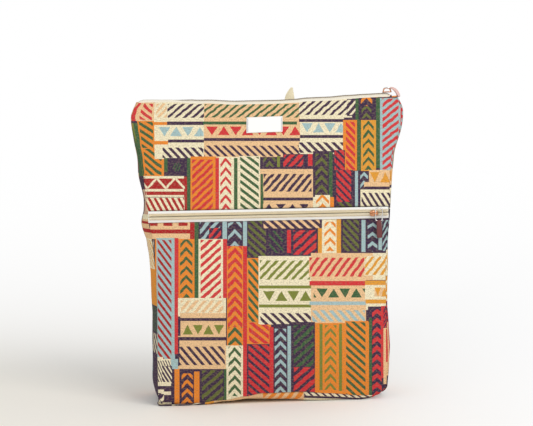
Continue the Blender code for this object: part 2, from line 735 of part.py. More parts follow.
def build_strap(side, name):
    matrix, length = strap_frame_matrix(side)
    frame = add_frame(f"strap_frame_{name}")
    frame.matrix_local = matrix
    upper, low, high, run = strap_path(matrix, length)
    bend = STRAP_RING_WIRE / 2 + TOUCH_GAP + WEBBING / 2
    across = Vector((run.y, -run.x))
    path = upper + [tuple(high - across * bend), tuple(low - across * bend)]
    for k in range(1, STRAP_TURN_STEPS):
        turn = pi * k / STRAP_TURN_STEPS
        path.append(tuple(low - across * bend * cos(turn) - run * bend * sin(turn)))
    path.append(tuple(low + across * bend))
    path.append(tuple(low + across * bend + run * (ADJUSTER_PLACE - low.y + STRAP_TAIL)))
    prism(f"shoulder_strap_{name}", WEBBING_CREAM, [band_outline(path, WEBBING)], STRAP_WIDTH / 2, frame)
    build_strap_ring(name, frame, low)
    build_adjuster(name, frame, low, run)
    build_ring_tab(name, frame, low, matrix)


def build_strap_ring(name, frame, low):
    width = STRAP_WIDTH + 2 * STRAP_RING_CLEARANCE + 2 * STRAP_RING_WIRE
    centre = (0, low.x, low.y - STRAP_RING_HEIGHT / 2 + STRAP_RING_WIRE / 2)
    wire_ring(f"strap_ring_{name}", RING_SILVER, width, STRAP_RING_HEIGHT, STRAP_RING_CORNER,
              STRAP_RING_WIRE, frame, centre)


def build_adjuster(name, frame, low, run):
    """Buckle whose middle bar lies between the two layers and whose end bars lie over them."""
    lean = Matrix(((1, 0, 0), (0, run.y, -run.x), (0, run.x, run.y))).transposed().to_4x4()
    along = (ADJUSTER_PLACE - low.y) / run.y
    centre = Vector((0, low.x + run.x * along, low.y + run.y * along))
    slide_frame = add_frame(f"strap_slide_{name}", frame)
    slide_frame.matrix_local = Matrix.Translation(centre) @ lean
    outer_layer = STRAP_RING_WIRE / 2 + 2 * TOUCH_GAP + WEBBING
    bar_in = -ADJUSTER_THICKNESS / 2
    bar_out = outer_layer + ADJUSTER_THICKNESS
    clear_half = STRAP_WIDTH / 2 + STRAP_RING_CLEARANCE
    half_width = clear_half + ADJUSTER_RAIL
    half_height = ADJUSTER_HEIGHT / 2
    end_bar = half_height - ADJUSTER_BAR
    body = box(f"strap_adjuster_{name}", (half_width * 2, bar_out - bar_in, ADJUSTER_HEIGHT),
               (0, (bar_in + bar_out) / 2, 0), slide_frame, RING_SILVER)
    tunnel_in = ADJUSTER_THICKNESS / 2
    cuts = (
        ("tunnel", (clear_half * 2, outer_layer - tunnel_in, ADJUSTER_HEIGHT * 2),
         (0, (outer_layer + tunnel_in) / 2, 0)),
        ("window", (clear_half * 2, ADJUSTER_THICKNESS * WINDOW_DEPTHS, end_bar * 2), (0, bar_out, 0)),
        ("upper_slot", (clear_half * 2, ADJUSTER_THICKNESS * SLOT_DEPTHS, half_height),
         (0, 0, (ADJUSTER_BAR + half_height) / 2)),
        ("lower_slot", (clear_half * 2, ADJUSTER_THICKNESS * SLOT_DEPTHS, half_height),
         (0, 0, -(ADJUSTER_BAR + half_height) / 2)),
    )
    for cut_name, size, place in cuts:
        cutter = box(f"{cut_name}_{name}", size, place, slide_frame, RING_SILVER, into=cutters)
        cutter.hide_render = True
        cutter.display_type = "WIRE"
        join_with(body, cutter, "DIFFERENCE")


def box(name, size, place, parent, finish, into=None):
    mesh = bpy.data.meshes.new(name)
    bm = bmesh.new()
    bmesh.ops.create_cube(bm, size=1.0)
    for vert in bm.verts:
        vert.co = Vector((vert.co.x * size[0], vert.co.y * size[1], vert.co.z * size[2])) + Vector(place)
    bm.to_mesh(mesh)
    bm.free()
    piece = add_piece(name, mesh, finish, parent)
    if into is not None:
        parts.objects.unlink(piece)
        into.objects.link(piece)
    return piece


def build_ring_tab(name, frame, low, matrix):
    """Webbing folded round the ring's lower bar and sewn flat to the back cloth."""
    bar = Vector((low.x, low.y - STRAP_RING_HEIGHT + STRAP_RING_WIRE))
    bend = STRAP_RING_WIRE / 2 + TOUCH_GAP + WEBBING / 2
    lift = WEBBING / 2 + RING_TAB_LIFT
    layer = WEBBING + TOUCH_GAP
    foot = bar.y - RING_TAB_FOOT_DROP - RING_TAB_FOOT
    mid = bar.y - RING_TAB_BEND_DROP
    path = [(seat_on_back(matrix, foot, lift) + layer, foot), (seat_on_back(matrix, mid, lift) + layer, mid)]
    for k in range(RING_TAB_WRAP_STEPS + 1):
        turn = RING_TAB_WRAP_START + (pi - RING_TAB_WRAP_START) * k / RING_TAB_WRAP_STEPS
        path.append((bar.x + bend * cos(turn), bar.y + bend * sin(turn)))
    path += [(seat_on_back(matrix, mid, lift), mid), (seat_on_back(matrix, foot, lift), foot)]
    prism(f"ring_tab_{name}", WEBBING_CREAM, [band_outline(path, WEBBING)],
          STRAP_WIDTH / 2 - RING_TAB_SIDE_GAP, frame)


def build_patch():
    lift = WEBBING + 2 * STRAP_LIE_GAP
    top = MOUTH_LEVEL - PATCH_DROP

    def point(u, v):
        x = PATCH_WIDTH * (0.5 - u)
        level = top - PATCH_HEIGHT * (1 - v)
        return on_body(x, back_y(x, level) + lift, level)

    cloth_panel("strap_anchor_patch", WEBBING_CREAM, 8, 3, point, PATCH_CLOTH, outward=True)


def build_loop():
    """Webbing folded into a small upright loop behind the top edge."""
    seat = back_y(LOOP_X, MOUTH_LEVEL) + WEBBING / 2 + STRAP_LIE_GAP
    slope = (back_y(LOOP_X, MOUTH_LEVEL - LOOP_FOOT_DROP) - back_y(LOOP_X, MOUTH_LEVEL)) / LOOP_FOOT_DROP
    frame = add_frame("loop_frame", None, on_body(LOOP_X, seat, MOUTH_LEVEL))
    gap = WEBBING + 1.5 * TOUCH_GAP
    crest = LOOP_RISE - LOOP_RADIUS
    path = [(slope * LOOP_FOOT_DROP, -LOOP_FOOT_DROP), (0.0, 0.0), (0.0, crest * LOOP_INNER_RISE_SHARE)]
    for k in range(LOOP_STEPS + 1):
        turn = pi - pi * k / LOOP_STEPS
        path.append((LOOP_RADIUS * (1 + cos(turn)), crest + LOOP_RADIUS * sin(turn)))
    path += [(LOOP_RADIUS * (1 + LOOP_OUTER_LEAN), crest * LOOP_OUTER_RISE_SHARE),
             (gap + LOOP_FOOT_LEAN, -LOOP_OUTER_FOOT_DROP * LOOP_FOOT_BEND_SHARE),
             (gap + slope * LOOP_OUTER_FOOT_DROP, -LOOP_OUTER_FOOT_DROP)]
    prism("hang_loop", WEBBING_CREAM, [band_outline(path, WEBBING)], LOOP_WIDTH / 2, frame)


clear_scene()
parts = make_collection(COLLECTION_NAME)
cutters = make_collection("cutters")
build_front()
build_back()
build_gussets()
build_base()
build_pocket_lining()
build_top_zip()
build_pocket_zip()
build_label()
for strap_side, strap_name in ((-1, "left"), (1, "right")):
    build_strap(strap_side, strap_name)
build_patch()
build_loop()
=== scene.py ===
"""Looks of the tapestry backpack: woven cloth, zips, leather, webbing, floor, light and camera.

The cloth's pattern is laid out as patches in view units. One unit is one pixel of a
533 x 426 frame, about 1.2 mm on the bag, with X to the right and Y down.
"""

from collections import namedtuple
from math import cos, hypot, pi, radians, sin, sqrt, tan

import bmesh
import bpy
from mathutils import Matrix, Vector, noise


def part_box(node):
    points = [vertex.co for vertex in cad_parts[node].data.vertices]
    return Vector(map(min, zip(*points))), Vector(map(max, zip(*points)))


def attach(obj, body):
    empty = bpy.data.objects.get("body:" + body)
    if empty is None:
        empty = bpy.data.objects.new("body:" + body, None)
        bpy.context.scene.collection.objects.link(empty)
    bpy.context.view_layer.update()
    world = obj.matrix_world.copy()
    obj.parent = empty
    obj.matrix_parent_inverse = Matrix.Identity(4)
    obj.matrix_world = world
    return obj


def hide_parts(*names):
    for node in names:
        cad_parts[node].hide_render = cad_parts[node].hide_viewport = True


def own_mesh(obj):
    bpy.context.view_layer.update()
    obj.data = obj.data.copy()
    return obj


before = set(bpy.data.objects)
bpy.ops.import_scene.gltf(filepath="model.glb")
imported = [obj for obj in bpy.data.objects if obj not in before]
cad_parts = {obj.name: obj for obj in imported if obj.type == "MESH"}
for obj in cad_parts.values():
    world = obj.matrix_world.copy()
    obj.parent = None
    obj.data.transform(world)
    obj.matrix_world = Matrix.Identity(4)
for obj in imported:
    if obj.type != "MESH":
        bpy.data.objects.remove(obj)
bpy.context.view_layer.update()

# Camera and frame
FRAME_WIDTH = 533
FRAME_HEIGHT = 426
SENSOR = 0.036
LENS = 0.085
# One view unit on the bag
UNIT = 0.0012
VIEW_YAW = radians(-4.0)
VIEW_RISE = radians(4.0)
VIEW_ROLL = radians(0.9)
AIM = Vector((-0.003, -0.035, 0.2285))
DISTANCE = FRAME_WIDTH * UNIT * LENS / SENSOR

# Levels up the bag, where its section is known
BASE_EDGE = 0.012
ZIP_LEVEL = 0.2265
MOUTH_LEVEL = 0.364
LEVELS = (BASE_EDGE, 0.05061, 0.125685, 0.190035, ZIP_LEVEL, 0.291675, 0.345, MOUTH_LEVEL)
MOUTH_TILT = radians(1.1)
TAPE_HALF = 0.0071
CROWN_POWER = 2.4

# Yarn colours, in linear light
CREAM = (0.90, 0.81, 0.56)
PEACH = (0.86, 0.56, 0.30)
ORANGE = (0.85, 0.26, 0.03)
AMBER = (0.78, 0.34, 0.04)
RED = (0.66, 0.035, 0.045)
DARK_RED = (0.42, 0.018, 0.022)
GREEN = (0.045, 0.125, 0.05)
OLIVE = (0.20, 0.24, 0.04)
NAVY = (0.048, 0.026, 0.066)
PALE_BLUE = (0.38, 0.55, 0.56)
DARK_OLIVE = (0.13, 0.155, 0.04)
PATCH_CREAM = (0.80, 0.72, 0.52)

# A patch says its edges, motif and colours, the spacing and slant of its strokes, the share of
# ink, the bare margins at its sides and ends, and where its motif starts
PLAIN, BARS, CHEVRONS, TRIANGLES = range(4)
Patch = namedtuple("Patch", "left top right bottom motif ground ink pitch lean share side end phase")


def field(left, top, right, bottom, ground):
    """A patch of one colour."""
    return Patch(left, top, right, bottom, PLAIN, ground, ground, 10, 0, 0, 0, 0, 0)


def strokes(left, top, right, bottom, ground, ink, pitch, lean, share=0.36, side=2, end=1, phase=0):
    """Slanting bars; lean is how far right they run for each unit up."""
    return Patch(left, top, right, bottom, BARS, ground, ink, pitch, lean, share, side, end, phase)


def arrows(left, top, right, bottom, ground, ink, pitch=11, lean=0.95, share=0.4, side=1, end=0.5, phase=0.6):
    """A column of chevrons that point up."""
    return Patch(left, top, right, bottom, CHEVRONS, ground, ink, pitch, lean, share, side, end, phase)


def teeth(left, top, right, bottom, ground, ink, pitch=11.8, share=0.5, side=0.5, end=0, phase=0):
    """A row of triangles that point up and down by turns."""
    return Patch(left, top, right, bottom, TRIANGLES, ground, ink, pitch, 0, share, side, end, phase)


def zigzag(left, top, right, bottom, ground, ink, count, thick):
    """One zigzag line of count slants, laid as patches side by side."""
    wide = (right - left) / count
    lean = wide / (bottom - top)
    line = []
    for k in range(count):
        start = left + wide * k
        way, phase = (-1, 0.5) if k % 2 else (1, 0)
        line.append(strokes(start, top, start + wide, bottom, ground, ink, 2 * wide, way * lean,
                            thick / (2 * wide), 0, 0, phase))
    return line


UPPER_CLOTH = [
    field(125, 85, 410, 216, NAVY),
    # Left corner and edge
    field(129, 100, 154, 121, PEACH),
    strokes(139, 103, 152.5, 120.5, PEACH, RED, 6.6, -1.5, 0.5, 0.5, 0.5, 0.35),
    field(131, 103, 135, 121, RED),
    field(129, 123, 132, 178, OLIVE),
    field(131.5, 123, 136, 178, GREEN),
    strokes(136, 121, 154, 150, ORANGE, GREEN, 7.4, -1.7, 0.5, 1.6, 0.6, 0.35),
    strokes(136, 148, 163.9, 176, ORANGE, GREEN, 7.4, -1.7, 0.5, 2.4, 0.8),
    # Cream block at the left
    field(154, 96, 204, 159, CREAM),
    strokes(155, 103, 168, 118, CREAM, PEACH, 7.5, 0.85, 0.5, 1, 0.5),
    strokes(167, 103, 205, 118.5, CREAM, NAVY, 8.3, 1.2, 0.46, 0.5, 0.8, 0.35),
    field(154, 122, 167, 125, ORANGE),
    field(167, 121.5, 204, 125, NAVY),
    teeth(158.5, 126.8, 204, 136.3, CREAM, PALE_BLUE),
    field(154, 141, 168, 144.5, ORANGE),
    field(168, 139.3, 204, 142.3, NAVY),
    strokes(162, 147, 204, 158.5, CREAM, NAVY, 7.6, -0.95, 0.5, 0.5, 0.5, 0.6),
    # Peach block in the middle
    field(204, 96, 300, 158, PEACH),
    strokes(204, 103.5, 300, 118, PEACH, GREEN, 8.2, 1.25, 0.42, 0.5, 0.5, 0.25),
    field(203, 121.5, 297, 124.5, GREEN),
    teeth(206, 126.3, 303, 135.3, PEACH, RED, 11.9),
    field(204, 138.2, 300, 141, NAVY),
    strokes(204, 145, 300, 157, PEACH, NAVY, 7.6, -1.05, 0.45, 0, 0.6, 0.1),
    # Cream block at the right
    field(300, 92, 352, 119, CREAM),
    field(300, 119, 344, 154, CREAM),
    strokes(299, 100, 352, 115.5, CREAM, NAVY, 8, 1.1, 0.44, 0, 0.6, 0.5),
    field(299, 119, 344, 121.8, NAVY),
    teeth(301.5, 123, 343.5, 132.5, CREAM, PALE_BLUE, 11.3),
    field(300, 135.2, 344, 138, NAVY),
    strokes(299, 142, 345, 153, CREAM, NAVY, 8.2, -1, 0.5, 0, 0.3, 0.4),
    # Navy top right, bars and arrows
    field(344, 117.5, 360, 121, NAVY),
    strokes(347, 99, 356, 116, NAVY, CREAM, 8, 0.9, 0.4, 0),
    field(355.5, 98, 358.5, 121, GREEN),
    arrows(360, 97, 373, 119, NAVY, ORANGE),
    arrows(360, 106, 373, 119, NAVY, DARK_OLIVE, 8.2, 0.9, 0.42, 1.5, 0.5, 0.5),
    field(343, 120, 356, 171, ORANGE),
    strokes(345, 121, 356, 171, ORANGE, RED, 7.5, -0.95, 0.55, 1, 1, 0.3),
    strokes(334, 150, 345, 171, NAVY, RED, 7.8, -1, 0.58, 0.5, 0, 0.3),
    field(356, 120, 357, 171, ORANGE),
    field(357, 120, 361, 171, GREEN),
    arrows(361, 120, 376, 171, AMBER, GREEN, 9, 0.85, 0.4, 2, 1, 0.25),
    field(376, 96, 380, 168, GREEN),
    field(358, 93, 398, 96.5, NAVY),
    strokes(360, 93, 398, 97.5, NAVY, ORANGE, 9, 1, 0.5, 1, 0.3, 0.3),
    field(380, 98, 402, 170, PALE_BLUE),
    strokes(380, 98, 401, 170, PALE_BLUE, RED, 7.2, 1.25, 0.52, 2.4, 0.5, 0.2),
    field(400.6, 104, 402, 126, RED),
    # Second row, from the left
    field(164, 158, 188, 175, NAVY),
    field(164, 158, 167.5, 172, GREEN),
    strokes(172, 162, 182, 172, NAVY, GREEN, 6, 0.5, 0.4, 1),
    field(129, 176, 184, 197, CREAM),
    field(184, 176.5, 188, 214, DARK_RED),
    *zigzag(129, 178.6, 185, 188.8, DARK_RED, CREAM, 6, 3.2),
    field(129, 191.5, 186, 195, DARK_RED),
    strokes(129, 197.5, 184.5, 214, CREAM, DARK_RED, 5.9, -0.55, 0.5, 0.3, 0.3, 0.2),
    field(186.8, 158, 190.5, 212, GREEN),
    field(190.5, 156.5, 216, 214, ORANGE),
    strokes(191, 159, 214, 213, ORANGE, RED, 7.8, 1.05, 0.52, 1.2, 0.5),
    field(215.5, 158, 219, 213, RED),
    arrows(219, 157, 232.5, 212, CREAM, RED, 9.2, 0.85, 0.4, 1.2, 1.2, 0.25),
    field(232.5, 157, 239, 212, CREAM),
    field(234, 158, 237.6, 212, GREEN),
    strokes(239, 156, 260, 211, CREAM, GREEN, 7.6, -1.3, 0.46, 1.2, 0.8, 0.3),
    field(260, 157, 313, 169, NAVY),
    arrows(262, 157, 277, 167, NAVY, DARK_OLIVE, 9, 0.8, 0.42, 1.5, 0.5, 0.9),
    field(277, 156, 280, 167, OLIVE),
    strokes(283, 154, 304, 167, NAVY, RED, 8.5, 0.9, 0.58, 0.5, 0.5, 0.3),
    field(308, 154, 312.5, 166, RED),
    field(260, 169, 313, 211, PEACH),
    field(260.5, 174, 263.4, 210, GREEN),
    strokes(263, 173.5, 312, 192, PEACH, NAVY, 7.4, 0.85, 0.5, 0.5, 0.5, 0.1),
    field(263.5, 197.5, 313, 200.6, NAVY),
    teeth(263, 203.8, 313, 210.5, PEACH, NAVY, 11.8, 0.42, 1, 0, 0.5),
    field(313, 151, 333, 198, NAVY),
    arrows(314, 153, 329, 197, NAVY, DARK_OLIVE, 9.2, 0.9, 0.44, 1.5, 0.8, 0.9),
    field(329, 152, 332.5, 197, GREEN),
    field(313, 197, 330, 211, CREAM),
    arrows(315, 195, 330, 211, CREAM, ORANGE, 9, 1, 0.4, 1, 0.3, 0.4),
    field(330, 197, 334, 211, ORANGE),
    field(334, 170, 353, 211, NAVY),
    strokes(336, 152, 345, 171, NAVY, RED, 7.8, -1, 0.58, 0.5, 0, 0.3),
    strokes(335.5, 170, 352, 202, NAVY, RED, 7.8, -0.95, 0.6, 0.8, 0, 0.1),
    strokes(336, 202, 353, 209.5, NAVY, DARK_OLIVE, 7.4, -1, 0.5, 0.8, 0.3, 0.1),
    field(353, 170.5, 361, 211, NAVY),
    field(354.8, 171, 358, 209, PALE_BLUE),
    arrows(359, 171, 369, 191, NAVY, PALE_BLUE, 8.8, 1, 0.42, 1.2, 0.5, 0.2),
    field(369, 170, 402, 187, PEACH),
    field(364, 182, 372, 187, PEACH),
    teeth(369.5, 172, 404, 182.5, PEACH, AMBER, 10.5, 0.48),
    field(365, 186.5, 402, 189.5, NAVY),
    field(360.5, 189.5, 402, 211, CREAM),
    strokes(361, 192.5, 402, 210, CREAM, NAVY, 6.1, -0.62, 0.46, 0.3, 0.2, 0.1),
]

LOWER_CLOTH = [
    field(140, 214, 400, 412, NAVY),
    # Left column
    field(150, 219, 194, 239, PEACH),
    strokes(150, 222.5, 190, 226, PEACH, DARK_RED, 15, 0, 0.6, 0, 0, 0.3),
    field(150, 229.5, 192, 233.5, DARK_RED),
    field(190, 222, 194.3, 239, DARK_RED),
    field(194.3, 220, 198.3, 298, GREEN),
    field(155, 239, 158, 360, PEACH),
    field(155, 239, 156.6, 358, ORANGE),
    strokes(156.6, 238, 175, 369, PALE_BLUE, DARK_RED, 8.5, -0.75, 0.46, 1, 2, 0.3),
    field(171.5, 238, 175, 369, PALE_BLUE),
    field(174.6, 238, 178.3, 354, RED),
    arrows(178.3, 239, 194.3, 298, ORANGE, GREEN, 9.3, 0.95, 0.4, 1.8, 0.5, 0.45),
    # Navy and pale blue top, second column
    field(198.3, 220, 223, 239, NAVY),
    strokes(199, 222, 221, 239, NAVY, PALE_BLUE, 8.6, 0.85, 0.5, 1, 0, 0.4),
    strokes(209, 228, 221, 240, NAVY, RED, 8.6, 0.85, 0.5, 0, 0, 0.4),
    field(198.3, 239, 226, 299, CREAM),
    strokes(200.5, 239, 221, 299, CREAM, RED, 8.3, 1.1, 0.5, 0, 0.8, 0.2),
    field(222.5, 220, 227, 239, PALE_BLUE),
    field(222.8, 239, 226.8, 298, RED),
    # Column of arrows
    field(226.8, 220, 243, 246, NAVY),
    arrows(227, 222, 242.5, 246, NAVY, PALE_BLUE, 12, 0.95, 0.34, 1, 0, 0.75),
    field(243, 220, 246.8, 246, PALE_BLUE),
    arrows(227, 246, 243, 327, ORANGE, RED, 9.7, 0.9, 0.52, 0.8, 0, 0.1),
    arrows(227, 327, 243, 345.5, ORANGE, GREEN, 9.6, 0.95, 0.44, 1, 0, 0.3),
    field(226, 345.5, 243.5, 402, CREAM),
    arrows(228, 346, 241.5, 397, CREAM, GREEN, 9.2, 0.9, 0.44, 0.6, 0.8, 0.15),
    field(243, 246, 247, 402, RED),
    # Olive on navy, and the bands beside it
    strokes(247, 220, 286, 257, NAVY, DARK_OLIVE, 8.4, -1.1, 0.5, 1, 0, 0.1),
    field(266, 228, 286, 256, NAVY),
    strokes(267, 229, 285, 255, NAVY, GREEN, 9, -0.9, 0.3, 2, 2, 0.1),
    field(262, 219, 322, 229, NAVY),
    strokes(263, 219, 320, 228.5, NAVY, PEACH, 8.6, -1.15, 0.48, 0.5, 0.2, 0.3),
    field(287, 230, 291, 253, RED),
    strokes(293, 230, 317, 255, NAVY, RED, 9, 1.1, 0.56, 0.5, 0.2, 0.5),
    field(318, 228, 323, 255, AMBER),
    field(322, 219, 337, 254, CREAM),
    arrows(323, 221, 337, 252, CREAM, ORANGE, 9.4, 0.95, 0.38, 1.4, 1),
    field(336.5, 219, 341.2, 253, AMBER),
    strokes(342, 219, 360, 252, NAVY, DARK_OLIVE, 7.6, -0.95, 0.54, 1, 0.8, 0.2),
    field(361.5, 220, 365.5, 252, PALE_BLUE),
    arrows(367, 220, 378, 252, NAVY, PALE_BLUE, 9.6, 1.25, 0.36, 0.8, 0.6, 0.1),
    field(378.6, 222, 382, 250, PALE_BLUE),
    strokes(382.5, 220, 388, 251, NAVY, PALE_BLUE, 8, 0.5, 0.45, 0, 0, 0.3),
    # Orange and green, orange and red, navy and red below the olive
    strokes(247, 258, 260, 323, ORANGE, GREEN, 8.8, -0.85, 0.46, 1.2, 1, 0.2),
    strokes(247, 322, 271, 344, ORANGE, RED, 10.2, -1.25, 0.54, 2, 0.5, 0.2),
    strokes(247, 344, 271, 402, NAVY, RED, 8.1, -1.15, 0.58, 1.2, 0.5, 0.2),
    field(247, 344, 248.5, 402, NAVY),
    field(269.3, 327, 273.6, 402, RED),
    # Cream block with olive
    field(258.5, 256, 311, 324, CREAM),
    strokes(259, 260, 311, 280, CREAM, OLIVE, 8.2, 0.95, 0.44, 1, 0.5, 0.2),
    field(259, 285.3, 311, 288.6, OLIVE),
    teeth(263, 291, 312, 301, CREAM, OLIVE, 12.2, 0.5, 0),
    field(259, 304.3, 311, 307.5, OLIVE),
    strokes(260, 313, 312, 324.5, CREAM, NAVY, 8.3, -1.05, 0.48, 0.3, 0, 0.1),
    # Peach block with red
    field(311, 253, 366, 323, PEACH),
    strokes(309, 257, 366, 277, PEACH, RED, 7.7, 0.72, 0.46, 0.5, 0.5, 0.2),
    field(309.5, 281, 365, 285.6, RED),
    teeth(313.5, 288.3, 366, 297.7, PEACH, GREEN, 11.4, 0.5, 0, 0, 0.87),
    field(309.5, 301.3, 366, 304.8, PALE_BLUE),
    strokes(311, 310, 366, 322, PEACH, PALE_BLUE, 8.4, -0.9, 0.5, 1, 0.3, 0.2),
    # Right edge
    field(366, 253, 388, 280, CREAM),
    field(364.5, 253, 373, 280, PEACH),
    strokes(364.5, 256, 388, 275.5, CREAM, AMBER, 7.4, 0.75, 0.42, 0.3, 0.5, 0.3),
    field(365, 280.3, 388, 285, AMBER),
    field(365, 285, 388, 300, CREAM),
    teeth(374.5, 287.5, 390, 296.5, PEACH, AMBER, 6.6, 0.48, 0),
    field(365.5, 299.5, 388, 303.4, AMBER),
    field(366, 303.4, 388, 310, CREAM),
    field(368, 306.5, 388, 402, NAVY),
    field(369, 318, 373, 402, GREEN),
    arrows(372, 308, 382, 397, NAVY, RED, 9.2, 1.15, 0.52, 0.3, 1, 0.2),
    field(381, 306, 384, 378, RED),
    strokes(383.5, 306, 388, 328, NAVY, RED, 6, 0.4, 0.5, 0, 0),
    field(383.5, 328, 388, 384, PEACH),
    field(386, 329, 388, 362, RED),
    # Bottom left
    field(178, 298, 226, 370, PEACH),
    field(178, 298, 226, 316, CREAM),
    strokes(180, 300, 224, 313, CREAM, PEACH, 7.8, 0.9, 0.5, 1, 0.5, 0.2),
    field(180, 313, 226, 317.5, PEACH),
    field(178, 317.8, 226, 320.8, NAVY),
    field(178, 316.5, 180.3, 336, NAVY),
    teeth(182.5, 324.8, 224, 334.5, PEACH, OLIVE, 10.4, 0.5, 0, 0, 0.5),
    field(178, 337, 226, 340.6, NAVY),
    strokes(178, 346, 226, 365.5, PEACH, NAVY, 7.8, -0.85, 0.46, 1, 0.5, 0.3),
    field(178, 340, 179.5, 366, NAVY),
    field(155, 359, 178, 369, PALE_BLUE),
    field(155, 357, 163, 402, CREAM),
    strokes(155, 359, 171, 384, CREAM, NAVY, 6.2, -0.42, 0.42, 0, 1.5, 0.3),
    strokes(162, 366, 172, 384, NAVY, CREAM, 6.2, -0.62, 0.42, 0, 0.5, 0.1),
    field(155, 382, 171, 386, CREAM),
    field(155, 386, 176, 389.5, NAVY),
    field(155, 389.5, 164, 392.5, CREAM),
    field(161, 391.5, 171, 394.8, CREAM),
    field(155, 393, 161, 412, NAVY),
    strokes(156, 394, 164, 402, NAVY, CREAM, 12, 0.8, 0.4, 0, 0, 0.4),
    field(155, 402.5, 171.5, 406.5, CREAM),
    field(174.5, 369, 179.3, 412, ORANGE),
    field(179.3, 369, 226, 412, NAVY),
    arrows(181, 373, 193.5, 407, NAVY, ORANGE, 9, 1, 0.44, 0.6),
    field(194, 371.5, 199.5, 412, ORANGE),
    strokes(201, 370, 224, 402, NAVY, DARK_OLIVE, 8.6, 1.2, 0.48, 1, 0.3, 0.2),
    field(224, 369, 226.5, 402, GREEN),
    # Bottom right
    field(273.6, 324, 292, 402, NAVY),
    arrows(274, 328, 287, 396, NAVY, PALE_BLUE, 9, 0.95, 0.44, 0.8, 1, 0.85),
    field(287.3, 326, 291, 402, PALE_BLUE),
    field(291, 322, 315, 402, NAVY),
    strokes(293.5, 325, 314, 367, NAVY, GREEN, 8.6, 1.1, 0.48, 0.3, 0.3, 0.2),
    strokes(293.5, 367, 315, 392, NAVY, RED, 9.6, 1.15, 0.56, 0.3, 0.3, 0.2),
    field(315, 323, 345, 402, ORANGE),
    field(319.5, 324, 322.6, 390, OLIVE),
    arrows(324, 324, 337, 391, ORANGE, OLIVE, 9.1, 0.85, 0.38, 0.8, 1, 0.9),
    field(339, 324, 342, 391, OLIVE),
    strokes(345, 321, 368.5, 396, ORANGE, GREEN, 7.9, -1.1, 0.46, 1.2, 1, 0.3),
    field(365.5, 322, 369, 402, ORANGE),
]


# Camera and view

def view_axes():
    """Right, up and forward of the camera, with its roll."""
    back = Vector((sin(VIEW_YAW) * cos(VIEW_RISE), -cos(VIEW_YAW) * cos(VIEW_RISE), sin(VIEW_RISE)))
    right = Vector((cos(VIEW_YAW), sin(VIEW_YAW), 0.0))
    up = back.cross(right)
    rolled = right * cos(VIEW_ROLL) - up * sin(VIEW_ROLL)
    return rolled, up * cos(VIEW_ROLL) + right * sin(VIEW_ROLL), -back


RIGHT, UP, FORWARD = view_axes()
EYE = AIM - FORWARD * DISTANCE
FOCAL = FRAME_WIDTH * LENS / SENSOR
FIRST_DEPTH = -0.04
SIGHT_STEPS = 5


def from_view(across, down, depth_at):
    """X and Z of the surface that shows at one place; depth_at gives its Y from X and Z."""
    ray = FORWARD + RIGHT * ((across - FRAME_WIDTH / 2) / FOCAL) - UP * ((down - FRAME_HEIGHT / 2) / FOCAL)
    y = FIRST_DEPTH
    for _ in range(SIGHT_STEPS):
        point = EYE + ray * ((y - EYE.y) / ray.y)
        y = depth_at(point.x, point.z)
    return point.x, point.z


def new_object(name, data):
    thing = bpy.data.objects.new(name, data)
    bpy.context.scene.collection.objects.link(thing)
    return thing


def make_camera():
    data = bpy.data.cameras.new("photo_camera")
    data.lens = LENS * 1000
    data.sensor_width = SENSOR * 1000
    camera = new_object("photo_camera", data)
    turn = Matrix((RIGHT, UP, -FORWARD)).transposed().to_4x4()
    camera.matrix_world = Matrix.Translation(EYE) @ turn
    bpy.context.scene.camera = camera


# The body's surfaces

TABLE_STEP = 0.00025


def level_table(*sizes):
    """A section size at every quarter millimetre of level, smooth between the levels."""
    steps = [b - a for a, b in zip(LEVELS, LEVELS[1:])]
    secants = [(b - a) / step for a, b, step in zip(sizes, sizes[1:], steps)]
    inner = [0.0 if a * b <= 0 else 2 * a * b / (a + b) for a, b in zip(secants, secants[1:])]
    slopes = [secants[0], *inner, secants[-1]]
    table = []
    for k in range(int((MOUTH_LEVEL - BASE_EDGE) / TABLE_STEP) + 2):
        level = min(BASE_EDGE + k * TABLE_STEP, MOUTH_LEVEL)
        i = max(n for n in range(len(steps)) if LEVELS[n] <= level)
        t = (level - LEVELS[i]) / steps[i]
        table.append((2 * t**3 - 3 * t**2 + 1) * sizes[i] + (t**3 - 2 * t**2 + t) * steps[i] * slopes[i]
                     + (3 * t**2 - 2 * t**3) * sizes[i + 1] + (t**3 - t**2) * steps[i] * slopes[i + 1])
    return table


def clamp(value, low, high):
    return min(max(value, low), high)


def at_level(table, level):
    place = (clamp(level, BASE_EDGE, MOUTH_LEVEL) - BASE_EDGE) / TABLE_STEP
    i = min(int(place), len(table) - 2)
    return table[i] + (table[i + 1] - table[i]) * (place - i)


SEAM_TABLE = level_table(0.274, 0.274, 0.272, 0.279, 0.290, 0.302, 0.326, 0.314)
FRONT_TABLE = level_table(0.047, 0.050, 0.047, 0.041, 0.037, 0.024, 0.0125, 0.008)
FRONT_CROWN_TABLE = level_table(0.002, 0.008, 0.012, 0.005, 0.0, 0.004, 0.001, 0.0)
BACK_TABLE = level_table(0.044, 0.045, 0.042, 0.037, 0.033, 0.022, 0.0125, 0.008)
BACK_CROWN_TABLE = level_table(0.002, 0.005, 0.008, 0.008, 0.007, 0.004, 0.001, 0.0)


def smooth(value):
    share = clamp(value, 0.0, 1.0)
    return share * share * (3 - 2 * share)


def tilt_rise(x, level):
    return x * tan(MOUTH_TILT) * smooth((level - ZIP_LEVEL) / (MOUTH_LEVEL - ZIP_LEVEL))


def seam_x(level):
    return at_level(SEAM_TABLE, level) / 2


def crown_share(x, level):
    return 1 - min(abs(x) / seam_x(level), 1.0) ** CROWN_POWER


def front_y(x, level):
    return -at_level(FRONT_TABLE, level) - at_level(FRONT_CROWN_TABLE, level) * crown_share(x, level)


def back_y(x, level):
    return at_level(BACK_TABLE, level) + at_level(BACK_CROWN_TABLE, level) * crown_share(x, level)


# Materials

